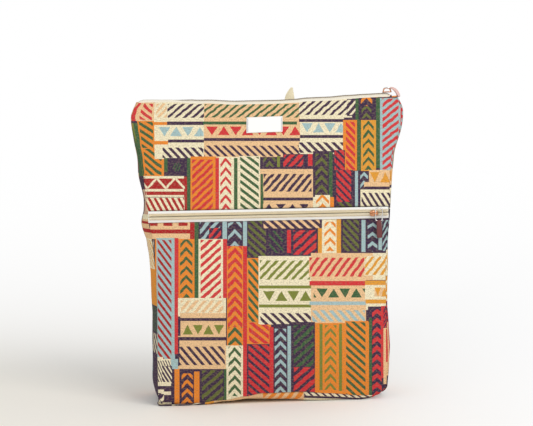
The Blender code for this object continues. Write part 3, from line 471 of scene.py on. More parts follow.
class Signal:
    """One value in a material's graph, with the arithmetic that adds nodes to it."""

    def __init__(self, graph, socket):
        self.graph = graph
        self.socket = socket

    def __add__(self, other):
        return self.graph.math("ADD", self, other)

    def __sub__(self, other):
        return self.graph.math("SUBTRACT", self, other)

    def __rsub__(self, other):
        return self.graph.math("SUBTRACT", other, self)

    def __mul__(self, other):
        return self.graph.math("MULTIPLY", self, other)

    def __truediv__(self, other):
        return self.graph.math("DIVIDE", self, other)

    def __abs__(self):
        return self.graph.math("ABSOLUTE", self)

    def clamped(self):
        self.socket.node.use_clamp = True
        return self


class Graph:
    """Short words for one material's nodes."""

    def __init__(self, name, roughness, metallic=0.0):
        self.material = bpy.data.materials.new(name)
        self.material.use_nodes = True
        self.tree = self.material.node_tree
        self.shader = self.tree.nodes["Principled BSDF"]
        self.set(self.shader, Roughness=roughness, Metallic=metallic)

    def put(self, socket, value):
        if isinstance(value, Signal):
            self.tree.links.new(value.socket, socket)
        elif isinstance(value, tuple):
            socket.default_value = (*value, 1.0)
        else:
            socket.default_value = value

    def set(self, node, **values):
        for name, value in values.items():
            self.put(node.inputs[name], value)

    def node(self, kind, *values):
        node = self.tree.nodes.new("ShaderNode" + kind)
        for socket, value in zip(node.inputs, values):
            self.put(socket, value)
        return node

    def read(self, kind, output):
        return Signal(self, self.node(kind).outputs[output])

    def math(self, operation, *values):
        node = self.node("Math", *values)
        node.operation = operation
        return Signal(self, node.outputs[0])

    def attribute(self, name, output="Vector"):
        node = self.node("Attribute")
        node.attribute_name = name
        return Signal(self, node.outputs[output])

    def split(self, vector):
        return [Signal(self, output) for output in self.node("SeparateXYZ", vector).outputs]

    def join(self, x, y):
        return Signal(self, self.node("CombineXYZ", x, y).outputs[0])

    def mix(self, share, first, second):
        node = self.node("Mix")
        node.data_type = "RGBA"
        for place, value in (("Factor", share), (6, first), (7, second)):
            self.put(node.inputs[place], value)
        return Signal(self, node.outputs[2])

    def noise(self, vector, scale, detail):
        node = self.node("TexNoise")
        self.set(node, Vector=vector, Scale=scale, Detail=detail)
        return Signal(self, node.outputs[0])

    def step(self, value, edge, softness):
        """0 below the edge and 1 above it, over a short ramp."""
        return ((value - edge) / softness + 0.5).clamped()

    def bump(self, height, strength):
        node = self.node("Bump")
        self.set(node, Strength=strength, Distance=BUMP_DEPTH, Height=height)
        self.set(self.shader, Normal=Signal(self, node.outputs[0]))

    def colour(self, value):
        self.put(self.shader.inputs["Base Color"], value)


BUMP_DEPTH = 0.0003
# From yarn to yarn in view units, and how soft the edges of bars and patches are
YARN = 0.9
BAR_EDGE = 0.06
PATCH_EDGE = 0.5


def tapestry_material():
    """Woven patches: the mesh says what motif each face carries, the shader draws its yarn."""
    g = Graph("tapestry_cloth", roughness=0.92)
    place = g.attribute("cloth")
    wander = g.noise(place, 0.16, 1.0) - 0.5
    waver = g.noise(place, 0.55, 1.0) - 0.5
    across, down, _ = g.split(place)
    across = wander * 1.5 + across
    across = waver * 0.7 + across
    down = wander * 1.6 + down
    left, top, motif = g.split(g.attribute("patch_origin"))
    width, height, phase = g.split(g.attribute("patch_size"))
    across_rate, down_rate, share = g.split(g.attribute("patch_run"))
    side, end, _ = g.split(g.attribute("patch_margin"))
    local_across = across - left
    local_down = down - top
    folded = abs(local_across - width * 0.5)
    is_arrow = g.math("COMPARE", motif, float(CHEVRONS), 0.1)
    is_teeth = g.math("COMPARE", motif, float(TRIANGLES), 0.1)
    run = (folded - local_across) * is_arrow + local_across
    turn = g.math("FRACT", local_down * down_rate + run * across_rate + phase)
    bars = 1.0 - g.step(abs(turn - 0.5), share * 0.5, BAR_EDGE)
    fall = local_down / height
    rise = 1.0 - fall
    reach = (fall - rise) * g.math("GREATER_THAN", turn, 0.5) + rise
    tooth = abs(g.math("FRACT", turn * 2.0) - 0.5)
    points = g.math("LESS_THAN", tooth, reach * share)
    ink = (points - bars) * is_teeth + bars
    for value, edge in ((local_across, side), (width - local_across, side),
                        (local_down, end), (height - local_down, end)):
        ink = ink * g.step(value, edge, PATCH_EDGE)
    cloth = g.mix(ink, g.attribute("patch_ground", "Color"), g.attribute("patch_ink", "Color"))
    speck = g.noise(place, 0.9, 3.0)
    fleck = g.noise(g.join(across * 0.9, down * 1.3), 0.5, 3.0)
    cloth = g.mix(g.step(speck, 0.56, 0.12) * 0.30, cloth, (0.10, 0.06, 0.04))
    cloth = g.mix(g.step(fleck, 0.54, 0.08) * 0.24, cloth, (0.34, 0.25, 0.16))
    g.colour(cloth)
    rib, yarn = (g.math("SINE", way * (2 * pi / YARN)) for way in (down, across))
    g.bump(speck * 2.0 + rib * yarn, 0.35)
    g.shader.inputs["Specular IOR Level"].default_value = 0.15
    return g.material


def label_material():
    """Smooth white weave with the colours that its faces carry."""
    g = Graph("label_weave", roughness=0.7)
    grain = g.noise(g.attribute("cloth"), 1.6, 2.0) * 0.12
    g.colour(g.mix(grain, g.attribute("patch_ground", "Color"), (0.6, 0.6, 0.62)))
    return g.material


def flat_material(name, colour, roughness, metallic=0.0, grain=0.0):
    """One colour with a little grain laid in the object's own space."""
    g = Graph(name, roughness, metallic)
    if grain:
        cloud = g.noise(g.read("TexCoord", "Object"), 900.0, 2.0)
        g.colour(g.mix(cloud, tuple(value * (1 - grain) for value in colour), colour))
        g.bump(cloud, 0.25)
    else:
        g.colour(colour)
    return g.material


# Meshes

def place_piece(name, node, look, data, body="root"):
    """Shows a mesh or curve in place of a solid; look is its material."""
    data.materials.append(look[0])
    piece = new_object(name, data)
    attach(piece, body)
    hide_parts(node)
    return piece


def add_mesh(name, node, look, verts, faces, body="root"):
    mesh = bpy.data.meshes.new(name)
    mesh.from_pydata(verts, [], faces)
    mesh.shade_smooth()
    return place_piece(name, node, look, mesh, body)


def mesh_rows(rows, closed=False):
    """Points and faces of rows of points laid side by side; closed rows are rings."""
    wide = len(rows[0])
    faces = []
    for base in range(0, (len(rows) - 1) * wide, wide):
        for i in range(wide if closed else wide - 1):
            k = (i + 1) % wide
            faces.append((base + i, base + k, base + wide + k, base + wide + i))
    return [point for row in rows for point in row], faces


def round_curve(name, kind, points, radius, roundness):
    curve = bpy.data.curves.new(name, "CURVE")
    curve.dimensions = "3D"
    curve.bevel_depth = radius
    curve.bevel_resolution = roundness
    spline = curve.splines.new(kind)
    spline.points.add(len(points) - 1)
    for spot, point in zip(spline.points, points):
        spot.co = (*point, 1.0)
    return curve, spline


def thicken(piece, thickness):
    """A second side, inward of the first."""
    solidify = piece.modifiers.new("thickness", "SOLIDIFY")
    solidify.thickness = thickness
    solidify.offset = -1.0


def grid_lines(low, high, borders, gap):
    """The borders between low and high, with more lines wherever they stand wider than the gap."""
    marks = sorted({round(b * 2) / 2 for b in borders if low + 0.4 < b < high - 0.4} | {low, high})
    lines = [marks[0]]
    for mark in marks[1:]:
        count = max(1, round((mark - lines[-1]) / gap + 0.3))
        start = lines[-1]
        lines += [start + (mark - start) * k / count for k in range(1, count + 1)]
    return lines


def motif_rates(patch):
    """How fast a patch's motif turns over for each unit across and down."""
    lean, pitch = patch.lean, patch.pitch
    if patch.motif == CHEVRONS:
        return -1 / (lean * pitch), 1 / pitch
    if patch.motif == TRIANGLES:
        return 0.5 / pitch, 0.0
    if not lean or patch.right - patch.left > patch.bottom - patch.top:
        return 1 / pitch, lean / pitch
    return 1 / (lean * pitch), 1 / pitch


def face_notes(patch):
    """What a face tells the shader about its patch."""
    return {"patch_origin": (patch.left, patch.top, patch.motif),
            "patch_size": (patch.right - patch.left, patch.bottom - patch.top, patch.phase),
            "patch_run": (*motif_rates(patch), patch.share),
            "patch_margin": (patch.side, patch.end, 0.0),
            "patch_ground": (*patch.ground, 1.0),
            "patch_ink": (*patch.ink, 1.0)}


SMALLEST_FACE = 1e-8


def weave(name, node, patches, box, gap, place, thickness=0.0012, look=None):
    """A cloth laid on place(across, down); each face is told which patch of the pattern it shows."""
    left, top, right, bottom = box
    columns = grid_lines(left, right, [edge for p in patches for edge in (p.left, p.right)], gap)
    rows = grid_lines(top, bottom, [edge for p in patches for edge in (p.top, p.bottom)], gap)
    verts = [place(across, down) for down in rows for across in columns]
    wide = len(columns)
    faces = []
    notes = []
    for j in range(len(rows) - 1):
        middle_down = (rows[j] + rows[j + 1]) / 2
        line = [p for p in patches if p.top <= middle_down < p.bottom]
        for i in range(wide - 1):
            corner = j * wide + i
            quad = (corner + wide, corner + wide + 1, corner + 1, corner)
            span = (verts[quad[0]] - verts[quad[2]]).cross(verts[quad[1]] - verts[quad[3]])
            if span.length < SMALLEST_FACE:
                continue
            middle = (columns[i] + columns[i + 1]) / 2
            inside = [p for p in line if p.left <= middle < p.right]
            faces.append(quad)
            notes.append(face_notes(inside[-1] if inside else patches[0]))
    piece = add_mesh(name, node, look or TAPESTRY, verts, faces)
    spread = piece.data.attributes.new("cloth", "FLOAT_VECTOR", "POINT")
    places = [value for down in rows for across in columns for value in (across, down, 0.0)]
    spread.data.foreach_set("vector", places)
    for key in notes[0]:
        kind, member = ("FLOAT_COLOR", "color") if len(notes[0][key]) == 4 else ("FLOAT_VECTOR", "vector")
        layer = piece.data.attributes.new(key, kind, "FACE")
        layer.data.foreach_set(member, [value for note in notes for value in note[key]])
    thicken(piece, thickness)
    return piece


# Cloth

# How far the mouth sags at each X
MOUTH_SAG = ((-0.146, -0.0028), (-0.12, -0.0024), (-0.075, 0.0008), (-0.032, 0.0034), (0.016, 0.004),
             (0.035, 0.0036), (0.052, 0.0024), (0.078, 0.0022), (0.1, 0.001), (0.125, 0.0003), (0.14, 0))
SAG_REACH = 0.06
# Two lines of the base in view units: its front seam and its lowest edge
BASE_SEAM = ((145, 406.5), (156, 407.5), (176, 407.5), (200, 403.6), (225, 400), (245, 396.4), (262, 393.2),
             (300, 391.7), (330, 393.2), (360, 395.3), (372, 394.8), (380, 392), (386, 387.5), (390, 384))
UNDER_EDGE = ((145, 406.5), (158, 409), (178, 408.6), (200, 404.8), (226, 401.4), (250, 399), (289, 399),
              (308, 399.8), (360, 400.2), (368, 398.8), (377, 395.4), (384, 390.5), (390, 384.5))


def along(points, place):
    """Height of a line drawn through points, eased between them."""
    if place <= points[0][0]:
        return points[0][1]
    for (x0, y0), (x1, y1) in zip(points, points[1:]):
        if place <= x1:
            return y0 + (y1 - y0) * smooth((place - x0) / (x1 - x0))
    return points[-1][1]


def height_at(x, level):
    sag = along(MOUTH_SAG, x) * smooth((level - MOUTH_LEVEL + SAG_REACH) / SAG_REACH)
    return level + tilt_rise(x, level) - sag


def cloth_level(x, height):
    level = height
    for _ in range(4):
        level += height - height_at(x, level)
    return min(level, MOUTH_LEVEL)


BROAD_FOLD = 0.0017
FINE_FOLD = 0.0007
FOLD_START = 0.016
FRONT_TURN = 0.006


def folds(x, level, seed):
    """How far the soft cloth stands out from its smooth form."""
    broad = noise.noise(Vector((x * 13, level * 17, seed)))
    fine = noise.noise(Vector((x * 42 + 0.6 * broad, level * 50, seed + 4.2)))
    return BROAD_FOLD * broad + FINE_FOLD * fine


def edge_roll(distance, width=0.0026, depth=0.0013):
    """How far cloth turns in beside a seam."""
    return depth * (1 - clamp(distance / width, 0.0, 1.0)) ** 2


def front_cloth_y(x, level, low, high):
    edge = min(half_width(x, level) - abs(x), level - low, high - level)
    y = front_y(x, level) - folds(x, level, 1.0) * smooth(edge / FOLD_START) + edge_roll(edge)
    if level < BASE_EDGE:
        y += FRONT_TURN * (1 - sqrt(max(1 - ((BASE_EDGE - level) / BASE_EDGE) ** 2, 0.0)))
    return y


# How far the right side flares at each level
RIGHT_FLARE = ((0.0, 0.0020), (0.06, 0.0042), (0.12, 0.0040), (0.19, 0.0026), (0.25, 0.0006), (0.29, 0.0010),
               (0.325, 0.0040), (0.355, 0.0044), (0.364, 0.0036))


def right_flare(x, level):
    """How much further out the cloth stands at the right than at the left."""
    return along(RIGHT_FLARE, level) * smooth((x - 0.08) / 0.05)


def half_width(x, level):
    return seam_x(level) + right_flare(x, level)


def front_place(low, high, warp=None, seam=None):
    def depth_at(x, height):
        return front_cloth_y(x, cloth_level(x, height), low, high)

    def place(across, down):
        if warp:
            across += warp(across, down)
        if seam:
            down = min(down, along(seam, across))
        x, height = from_view(across, down, depth_at)
        level = clamp(cloth_level(x, height), low, high)
        x = clamp(x, -seam_x(level), half_width(x, level))
        return Vector((x, front_cloth_y(x, level, low, high), height_at(x, level)))

    return place


# Where the upper cloth's left edge runs, in view units
LEFT_EDGE = ((85, 132.5), (103, 137.0), (110, 131.5), (117, 129.2), (126, 131.5), (141, 134.3), (160, 138.2),
             (177, 140.6), (188.6, 142.5), (195, 144.0), (212, 144.5))
LEFT_SIDE = 129


def follow_left_edge(across, down):
    """How far the patches near the left corner move to run beside the slanting seam."""
    reach = clamp((156 - across) / 27, 0.0, 1.0) * (1 - smooth((down - 174.5) / 3))
    return (along(LEFT_EDGE, down) - LEFT_SIDE) * reach


def moved(patches, across, down=0):
    return [Patch(p.left + across, p.top + down, p.right + across, p.bottom + down, *p[4:]) for p in patches]


def build_front():
    weave("tapestry_upper", "front_panel_upper", UPPER_CLOTH, (LEFT_SIDE, 88, 406, 214), 2.2,
          front_place(ZIP_LEVEL + TAPE_HALF, MOUTH_LEVEL, warp=follow_left_edge))
    weave("tapestry_pocket", "front_pocket_panel", LOWER_CLOTH, (143, 216, 392, 412), 2.4,
          front_place(0.0, ZIP_LEVEL - TAPE_HALF, seam=BASE_SEAM))


LABEL_GREY = (0.22, 0.22, 0.25)
LABEL_GROUND = (0.93, 0.93, 0.91)
LABEL_BOX = (246.5, 116.7, 282.5, 132.3)
LABEL_SLOPE = 0.035
LABEL_LIFT = 0.0011
LABEL_SWELL = 0.0004
LABEL_CLOTH = [
    field(240, 110, 290, 140, LABEL_GROUND),
    field(247.5, 117.8, 248.2, 131.4, LABEL_GREY),
    field(280.8, 117.8, 281.5, 131.4, LABEL_GREY),
]


def label_place(across, down):
    """The label lies on the front cloth, a touch higher at its right end."""
    left, top, right, bottom = LABEL_BOX
    edge = min(across - left, right - across, down - top, bottom - down)
    lift = LABEL_LIFT + LABEL_SWELL * smooth(edge / 3)

    def depth_at(x, height):
        return front_cloth_y(x, cloth_level(x, height), ZIP_LEVEL + TAPE_HALF, MOUTH_LEVEL) - lift

    x, height = from_view(across, down - (across - (left + right) / 2) * LABEL_SLOPE, depth_at)
    return Vector((x, depth_at(x, height), height))


def build_label():
    weave("label_tab", "label", LABEL_CLOTH, LABEL_BOX, 1.5, label_place, thickness=0.0006, look=LABEL)


SIDE_TOP = 96.0
SIDE_BOTTOM = 407.0
SIDE_WIDTH = 74.0
SIDE_FOOT = 0.003
SIDE_SEAM_GAP = 0.0004
LEFT_BULGE = 0.0070
RIGHT_BULGE = 0.0044
RIGHT_LIFT = 0.016
SIDE_FLAT = 0.001
SIDE_INSET = 0.0012
SIDE_TUCK = 0.003


def side_level(down):
    share = (SIDE_BOTTOM - down) / (SIDE_BOTTOM - SIDE_TOP)
    return SIDE_FOOT + (MOUTH_LEVEL - SIDE_FOOT) * share


def hump(level, middle, reach):
    """1 at the middle, easing to 0 at the reach on both sides."""
    return smooth(1 - abs(level - middle) / reach)


def gusset_place(side, bulge):
    """Lays one side's cloth from front to back; side is -1 at the left and 1 at the right."""
    def place(across, down):
        share = across / SIDE_WIDTH
        level = side_level(down)
        if side > 0:
            level = max(level, RIGHT_LIFT * (1 - smooth(share / 0.5)))
            drawn_in = 0.75 * hump(level, 0.235, 0.06)
        else:
            drawn_in = 0.5 * hump(level, 0.247, 0.03) - 0.45 * hump(level, 0.214, 0.02)
        swell = bulge * smooth((MOUTH_LEVEL - level) / 0.10) * smooth((level + 0.01) / 0.04)
        swell = swell * (1 - drawn_in) + SIDE_FLAT
        front = -at_level(FRONT_TABLE, level) + SIDE_SEAM_GAP
        back = at_level(BACK_TABLE, level) - SIDE_SEAM_GAP
        y = front + (back - front) * share
        arc = 1 - abs(2 * share - 1) ** 2.6
        wave = folds(y, level, 5.0 + side) * smooth(arc * 2)
        x = half_width(side * 0.15, level) - SIDE_INSET + swell * arc + wave
        tuck = SIDE_TUCK * smooth((BASE_EDGE - level) / BASE_EDGE)
        return Vector((side * (x - tuck), y, height_at(side * x, level)))

    return place


SIDE_CLOTH = moved(UPPER_CLOTH + LOWER_CLOTH, -259) + [
    strokes(0, 90, 26, 122, PEACH, RED, 9, 0.5, 0.5, 0, 0),
    field(0, 122, 26, 172, GREEN),
    field(3, 122, 4.5, 172, OLIVE),
    field(0, 172, 26, 186, NAVY),
    strokes(0, 186, 26, 212, CREAM, DARK_RED, 6, -0.6, 0.45, 0, 0),
    field(16, 172, 26, 216, NAVY),
    field(0, 212, 26, 217, CREAM),
    field(0, 217, 26, 237, PEACH),
    field(0, 219, 26, 221.5, DARK_RED),
    field(0, 226.5, 26, 230.5, DARK_RED),
    field(0, 270, 26, 306, AMBER),
    strokes(0, 247, 26, 306, AMBER, ORANGE, 9, 0.8, 0.45, 3),
    strokes(0, 237, 26, 268, CREAM, AMBER, 9, 0.7),
    strokes(0, 306, 26, 334, NAVY, GREEN, 9, 0.8, 0.45),
    strokes(0, 334, 26, 356, NAVY, CREAM, 8, 0.8, 0.4),
    field(0, 356, 26, 407, NAVY),
]


def build_sides():
    box = (0, SIDE_TOP, SIDE_WIDTH, SIDE_BOTTOM)
    left = gusset_place(-1, LEFT_BULGE)
    right = gusset_place(1, RIGHT_BULGE)
    piece = weave("tapestry_side_left", "side_gusset_left", SIDE_CLOTH, box, 3.0, left)
    piece.data.flip_normals()
    weave("tapestry_side_right", "side_gusset_right", moved(UPPER_CLOTH + LOWER_CLOTH, -311), box, 3.0,
          lambda across, down: right(SIDE_WIDTH - across, down))


BACK_LEFT = 126
BACK_RIGHT = 400
BACK_SEAM_GAP = 0.0006


def back_place(across, down):
    level = side_level(down)
    share = (across - BACK_LEFT) / (BACK_RIGHT - BACK_LEFT)
    half = seam_x(level) - BACK_SEAM_GAP
    x = half * (1 - 2 * share)
    edge = min(half - abs(x), MOUTH_LEVEL - level, level)
    y = back_y(x, level) + folds(x, level, 9.0) * smooth(edge / 0.02) - edge_roll(edge)
    return Vector((x, y, height_at(x, level)))


def build_back():
    patches = (moved(UPPER_CLOTH, -132) + moved(UPPER_CLOTH[1:], 142) + moved(LOWER_CLOTH, -140, -9)
               + moved(LOWER_CLOTH[1:], 98, -9))
    box = (BACK_LEFT, SIDE_TOP, BACK_RIGHT, SIDE_BOTTOM)
    weave("tapestry_back", "back_panel", patches, box, 3.2, back_place)


BASE_CLOTH = [
    field(120, 0, 420, 130, AMBER),
    field(120, 0, 205, 60, NAVY),
    strokes(120, 0, 205, 14, NAVY, CREAM, 22, 2.5, 0.3, 0, 0),
    field(262, 0, 304, 40, PEACH),
    strokes(262, 0, 304, 12, PEACH, ORANGE, 9, 0.8, 0.5, 1, 0),
    field(304, 0, 372, 60, CREAM),
    strokes(304, 0, 372, 4, CREAM, NAVY, 7, -1.2, 0.4, 0, 0),
    field(304, 4, 372, 6, NAVY),
    field(214, 0, 262, 60, PEACH),
    field(372, 0, 420, 60, RED),
    arrows(120, 20, 420, 110, AMBER, GREEN, 12, 1.2, 0.42, 1.5, 1, 0),
]


# The base turns under over the first view units, and rises at its rim
TURN_DOWN = 8
BASE_DOWN = 122
SEAM_OVERLAP = 0.6
BASE_OUT = 0.0006
TURN_IN = 0.004
BACK_INSET = 0.002
BACK_RISE = 0.010
SIDE_RISE = 0.006
FLOOR_GAP = 0.0006


def rim(share):
    """0 until a share is near its end, where it is 1."""
    return smooth((share - 0.93) / 0.07)


def base_place(across, down):
    """down runs from the front seam under the bag to the back seam."""
    turned = min(down / TURN_DOWN, 1.0)
    inward = BASE_OUT + TURN_IN * turned ** 2
    seam_down = along(BASE_SEAM, across)
    shown = seam_down - SEAM_OVERLAP + (along(UNDER_EDGE, across) - seam_down + SEAM_OVERLAP) * turned

    def depth_at(x, height):
        return front_cloth_y(x, height, -1.0, ZIP_LEVEL) + inward

    x, height = from_view(across, shown, depth_at)
    half = seam_x(BASE_EDGE)
    x = clamp(x, -half, half)
    height = max(height, FLOOR_GAP)
    front = depth_at(x, BASE_EDGE)
    if down <= TURN_DOWN:
        return Vector((x, front, height))
    share = (down - TURN_DOWN) / (BASE_DOWN - TURN_DOWN)
    back = back_y(x, BASE_EDGE) - BACK_INSET
    lift = height * (1 - smooth(share / 0.42))
    rise = BACK_RISE * rim(share) + SIDE_RISE * rim(abs(x) / half) * smooth(share * 6)
    narrow = 1 - 0.01 * smooth(share * 8)
    return Vector((x * narrow, front + (back - front) * share, FLOOR_GAP + lift + rise))


def build_base():
    weave("tapestry_base", "base_panel", BASE_CLOTH, (146, 0, 389, BASE_DOWN), 4.0, base_place)


# Zips

COIL_PITCH = 0.00125
COIL_WIRE = 0.00033
COIL_STEPS = 10
TAPE_STEPS = 240
TAPE_SET_BACK = 0.0008
TAPE_BOW = 0.0010
THREAD_SHARE = 0.42
THREAD_OUT = 0.0003
THREAD_RADIUS = 0.00032


def spread_along(start, end, count):
    return [start + (end - start) * k / count for k in range(count + 1)]


def coil(name, node, look, centre, reach_up=None):
    """A row of zip coils: one wire wound along X round centre(x), as tall as the solid or as told."""
    low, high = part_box(node)
    reach_deep = (high.y - low.y) / 2
    reach_up = reach_up or (high.z - low.z) / 2
    points = []
    for k, x in enumerate(spread_along(low.x, high.x, int((high.x - low.x) / COIL_PITCH) * COIL_STEPS)):
        turn = 2 * pi * k / COIL_STEPS
        y, z = centre(x)
        points.append((x, y + reach_deep * sin(turn), z + reach_up * cos(turn)))
    place_piece(name, node, look, round_curve(name, "POLY", points, COIL_WIRE, 1)[0])


def build_pocket_zip():
    for name, side in (("upper", 1), ("lower", -1)):
        tape_node = "front_zip_tape_" + name
        coil_node = "front_zip_coil_" + name
        low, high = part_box(tape_node)
        chain_low, chain_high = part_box(coil_node)
        outer = high.z if side > 0 else low.z
        inner = chain_low.z if side > 0 else chain_high.z
        rows = []
        for share in (0.0, 0.25, 0.5, 0.75, 1.0)[::-side]:
            z = inner + (outer - inner) * share
            y = low.y + TAPE_SET_BACK - TAPE_BOW * sin(pi * share)
            rows.append([Vector((x, y, z)) for x in spread_along(low.x, high.x, TAPE_STEPS)])
        add_mesh("front_tape_" + name, tape_node, TAPE, *mesh_rows(rows))
        middle = ((chain_low.y + chain_high.y) / 2, (chain_low.z + chain_high.z) / 2)
        coil("front_coil_" + name, coil_node, COIL_PALE, lambda x: middle)
        seam = inner + (outer - inner) * THREAD_SHARE
        thread = [(x, low.y - THREAD_OUT, seam) for x in spread_along(chain_low.x, chain_high.x, 40)]
        wire("front_coil_thread_" + name, coil_node, COIL_THREAD, "root", thread, THREAD_RADIUS)


MOUTH_HEIGHT = 0.3669
CHAIN_BEND_START = 0.1465
CHAIN_BEND_LENGTH = 0.0105
CHAIN_BEND_DROP = 0.0042


def top_line(x):
    """Height of the closed mouth's chain, which sags in the middle and bends down at its ends."""
    end = clamp((abs(x) - CHAIN_BEND_START) / CHAIN_BEND_LENGTH, 0.0, 1.0)
    return MOUTH_HEIGHT + x * tan(MOUTH_TILT) - max(along(MOUTH_SAG, x), 0.0) - CHAIN_BEND_DROP * end ** 2


# How much of the mouth's rise at the left the tape takes at each share of its width
TAPE_LIP = ((0.0, 1.0), (0.45, 2.0), (0.85, 0.3), (1.0, 0.0))
TAPE_OUT = 0.0076
TAPE_TURN_IN = 0.0046
TAPE_FOOT = 0.0058
TAPE_RISE = 0.0060


def tape_point(x, side, share):
    """A point of the top tape, from its outer edge at share 0 to the chain at share 1."""
    lip = max(-along(MOUTH_SAG, x), 0.0) * along(TAPE_LIP, share)
    y = side * (TAPE_OUT - TAPE_TURN_IN * smooth((share - 0.55) / 0.45))
    return Vector((x, y, top_line(x) - TAPE_FOOT + TAPE_RISE * share + lip))


def build_top_zip():
    for name, side in (("front", -1), ("back", 1)):
        low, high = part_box("top_zip_tape_" + name)
        chain_low, chain_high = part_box("top_zip_coil_" + name)
        rows = [[tape_point(x, side, share) for x in spread_along(low.x, high.x, TAPE_STEPS)]
                for share in (0.0, 0.15, 0.3, 0.45, 0.6, 0.75, 0.9, 1.0)[::-side]]
        add_mesh("top_tape_" + name, "top_zip_tape_" + name, TAPE_CREAM, *mesh_rows(rows))
        depth = (chain_low.y + chain_high.y) / 2
        coil("top_coil_" + name, "top_zip_coil_" + name, COIL_DARK, lambda x: (depth, top_line(x)), 0.0010)


LOOP_X = 0.0312
LOOP_THICKNESS = 0.0011


def build_loop():
    """Webbing that turns as it rises, so its edge shows beside its face."""
    # Height, left and right edge from the loop's middle, depth at each edge
    stations = ((0.3490, -0.0065, 0.0065, 0.0120, 0.0120), (0.3560, -0.0065, 0.0065, 0.0110, 0.0112),
                (0.3640, -0.0066, 0.0062, 0.0104, 0.0116), (0.3700, -0.0056, 0.0058, 0.0098, 0.0130),
                (0.3760, -0.0012, 0.0050, 0.0096, 0.0150), (0.3792, 0.0016, 0.0042, 0.0110, 0.0160),
                (0.3800, 0.0024, 0.0040, 0.0130, 0.0172), (0.3790, 0.0020, 0.0042, 0.0150, 0.0184),
                (0.3740, 0.0000, 0.0048, 0.0160, 0.0186), (0.3660, -0.0030, 0.0056, 0.0160, 0.0178),
                (0.3560, -0.0060, 0.0065, 0.0168, 0.0170), (0.3490, -0.0065, 0.0065, 0.0180, 0.0180))
    rows = []
    for height, left, right, near, far in stations:
        places = zip(spread_along(left, right, 6), spread_along(near, far, 6))
        rows.append([Vector((LOOP_X + x, y, height)) for x, y in places])
    piece = add_mesh("loop_webbing", "hang_loop", LOOP_CREAM, *mesh_rows(rows))
    thicken(piece, LOOP_THICKNESS)
    soften = piece.modifiers.new("soften", "SUBSURF")
    soften.levels = soften.render_levels = 2


ACROSS_X = Vector((1.0, 0.0, 0.0))
DEEP_Y = Vector((0.0, 1.0, 0.0))
UP_Z = Vector((0.0, 0.0, 1.0))
RING_STEPS = 16


def closed_body(name, node, look, body, sections):
    """A smooth closed body through rings of points, one ring for each section."""
    verts, faces = mesh_rows(sections, closed=True)
    count = len(sections[0])
    faces.append(tuple(range(count))[::-1])
    faces.append(tuple(range(len(verts) - count, len(verts))))
    return add_mesh(name, node, look, verts, faces, body)


def steps_from(origin, steps):
    """Points at steps from an origin, given in millimetres."""
    return [origin + Vector(step) * 0.001 for step in steps]


def rounded_ring(centre, across, up, half_across, half_up, power):
    """Points round a soft-cornered loop in the plane of across and up; power sets how square it is."""
    ring = []
    for k in range(RING_STEPS):
        turn = 2 * pi * k / RING_STEPS
        c, s = cos(turn), sin(turn)
        a = half_across * abs(c) ** (2 / power) * (1 if c >= 0 else -1)
        b = half_up * abs(s) ** (2 / power) * (1 if s >= 0 else -1)
        ring.append(centre + across * a + up * b)
    return ring


def wire(name, node, look, body, points, radius, closed=False):
    """A round wire through points."""
    curve, spline = round_curve(name, "NURBS", points, radius, 2)
    curve.use_fill_caps = True
    spline.use_cyclic_u = closed
    spline.use_endpoint_u = not closed
    spline.order_u = 3
    spline.resolution_u = 4
    place_piece(name, node, look, curve, body)


# The slider rides at the height that the chain has a little further in
TOP_SLIDER_X = 0.1502
TOP_CHAIN_X = 0.1440
TOP_SLIDER_LIFT = 0.0004


def build_top_slider():
    """Two plates that hug the chain, and an arched bridge."""
    middle = Vector((TOP_SLIDER_X, 0.0, top_line(TOP_CHAIN_X) + TOP_SLIDER_LIFT))
    slope = Vector((1.0, 0.0, tan(MOUTH_TILT))).normalized()
    for name, low, high in (("upper", 0.0012, 0.0027), ("lower", -0.0030, -0.0016)):
        sections = []
        for along_x, half in ((-0.0058, 0.0012), (-0.0050, 0.0026), (-0.0025, 0.0036), (0.0, 0.0042),
                              (0.0025, 0.0045), (0.0044, 0.0040), (0.0052, 0.0028)):
            centre = middle + slope * along_x + UP_Z * (low + high) / 2
            sections.append(rounded_ring(centre, DEEP_Y, UP_Z, half, (high - low) / 2, 4.0))
        closed_body("top_slider_" + name, "top_zip_slider", COPPER, "top_slider", sections)
    arch = steps_from(middle, ((-4.6, 0, 2), (-4.6, 0, 4.6), (-3, 0, 6.7), (0.2, 0, 7), (3.2, 0, 6.2),
                               (4.4, 0, 4.2), (4.4, 0, 2)))
    wire("top_slider_bridge", "top_zip_slider", COPPER, "top_slider", arch, 0.00085)


POCKET_SLIDER_DROP = 0.0010


def build_pocket_slider():
    """A low domed plate on the chain, and its bridge."""
    low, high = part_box("front_zip_slider")
    middle = (low + high) / 2
    middle.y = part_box("front_zip_coil_upper")[0].y
    middle.z -= POCKET_SLIDER_DROP
    sections = []
    for out, scale in ((0.0004, 1.0), (-0.0004, 1.04), (-0.0014, 1.0), (-0.0020, 0.86), (-0.0023, 0.5)):
        centre = middle + DEEP_Y * out
        sections.append(rounded_ring(centre, ACROSS_X, UP_Z, 0.0048 * scale, 0.0036 * scale, 3.2))
    closed_body("front_slider_plate", "front_zip_slider", COPPER, "pocket_slider", sections)
    arch = steps_from(middle, ((-4, -1.8, 0), (-3.8, -4.4, 0), (-1, -6.8, 0), (2.4, -6.8, 0), (4.4, -4.4, 0),
                               (4.6, -1.8, 0)))
    wire("front_slider_bridge", "front_zip_slider", COPPER, "pocket_slider", arch, 0.0009)


POCKET_RING_HALF = 0.0042
POCKET_RING_WIRE = 0.00075
POCKET_RING_BELOW_TAB_TOP = 0.0083
TOP_RING_HALF = 0.0024
TOP_RING_WIRE = 0.00055
RING_CORNER = 0.001


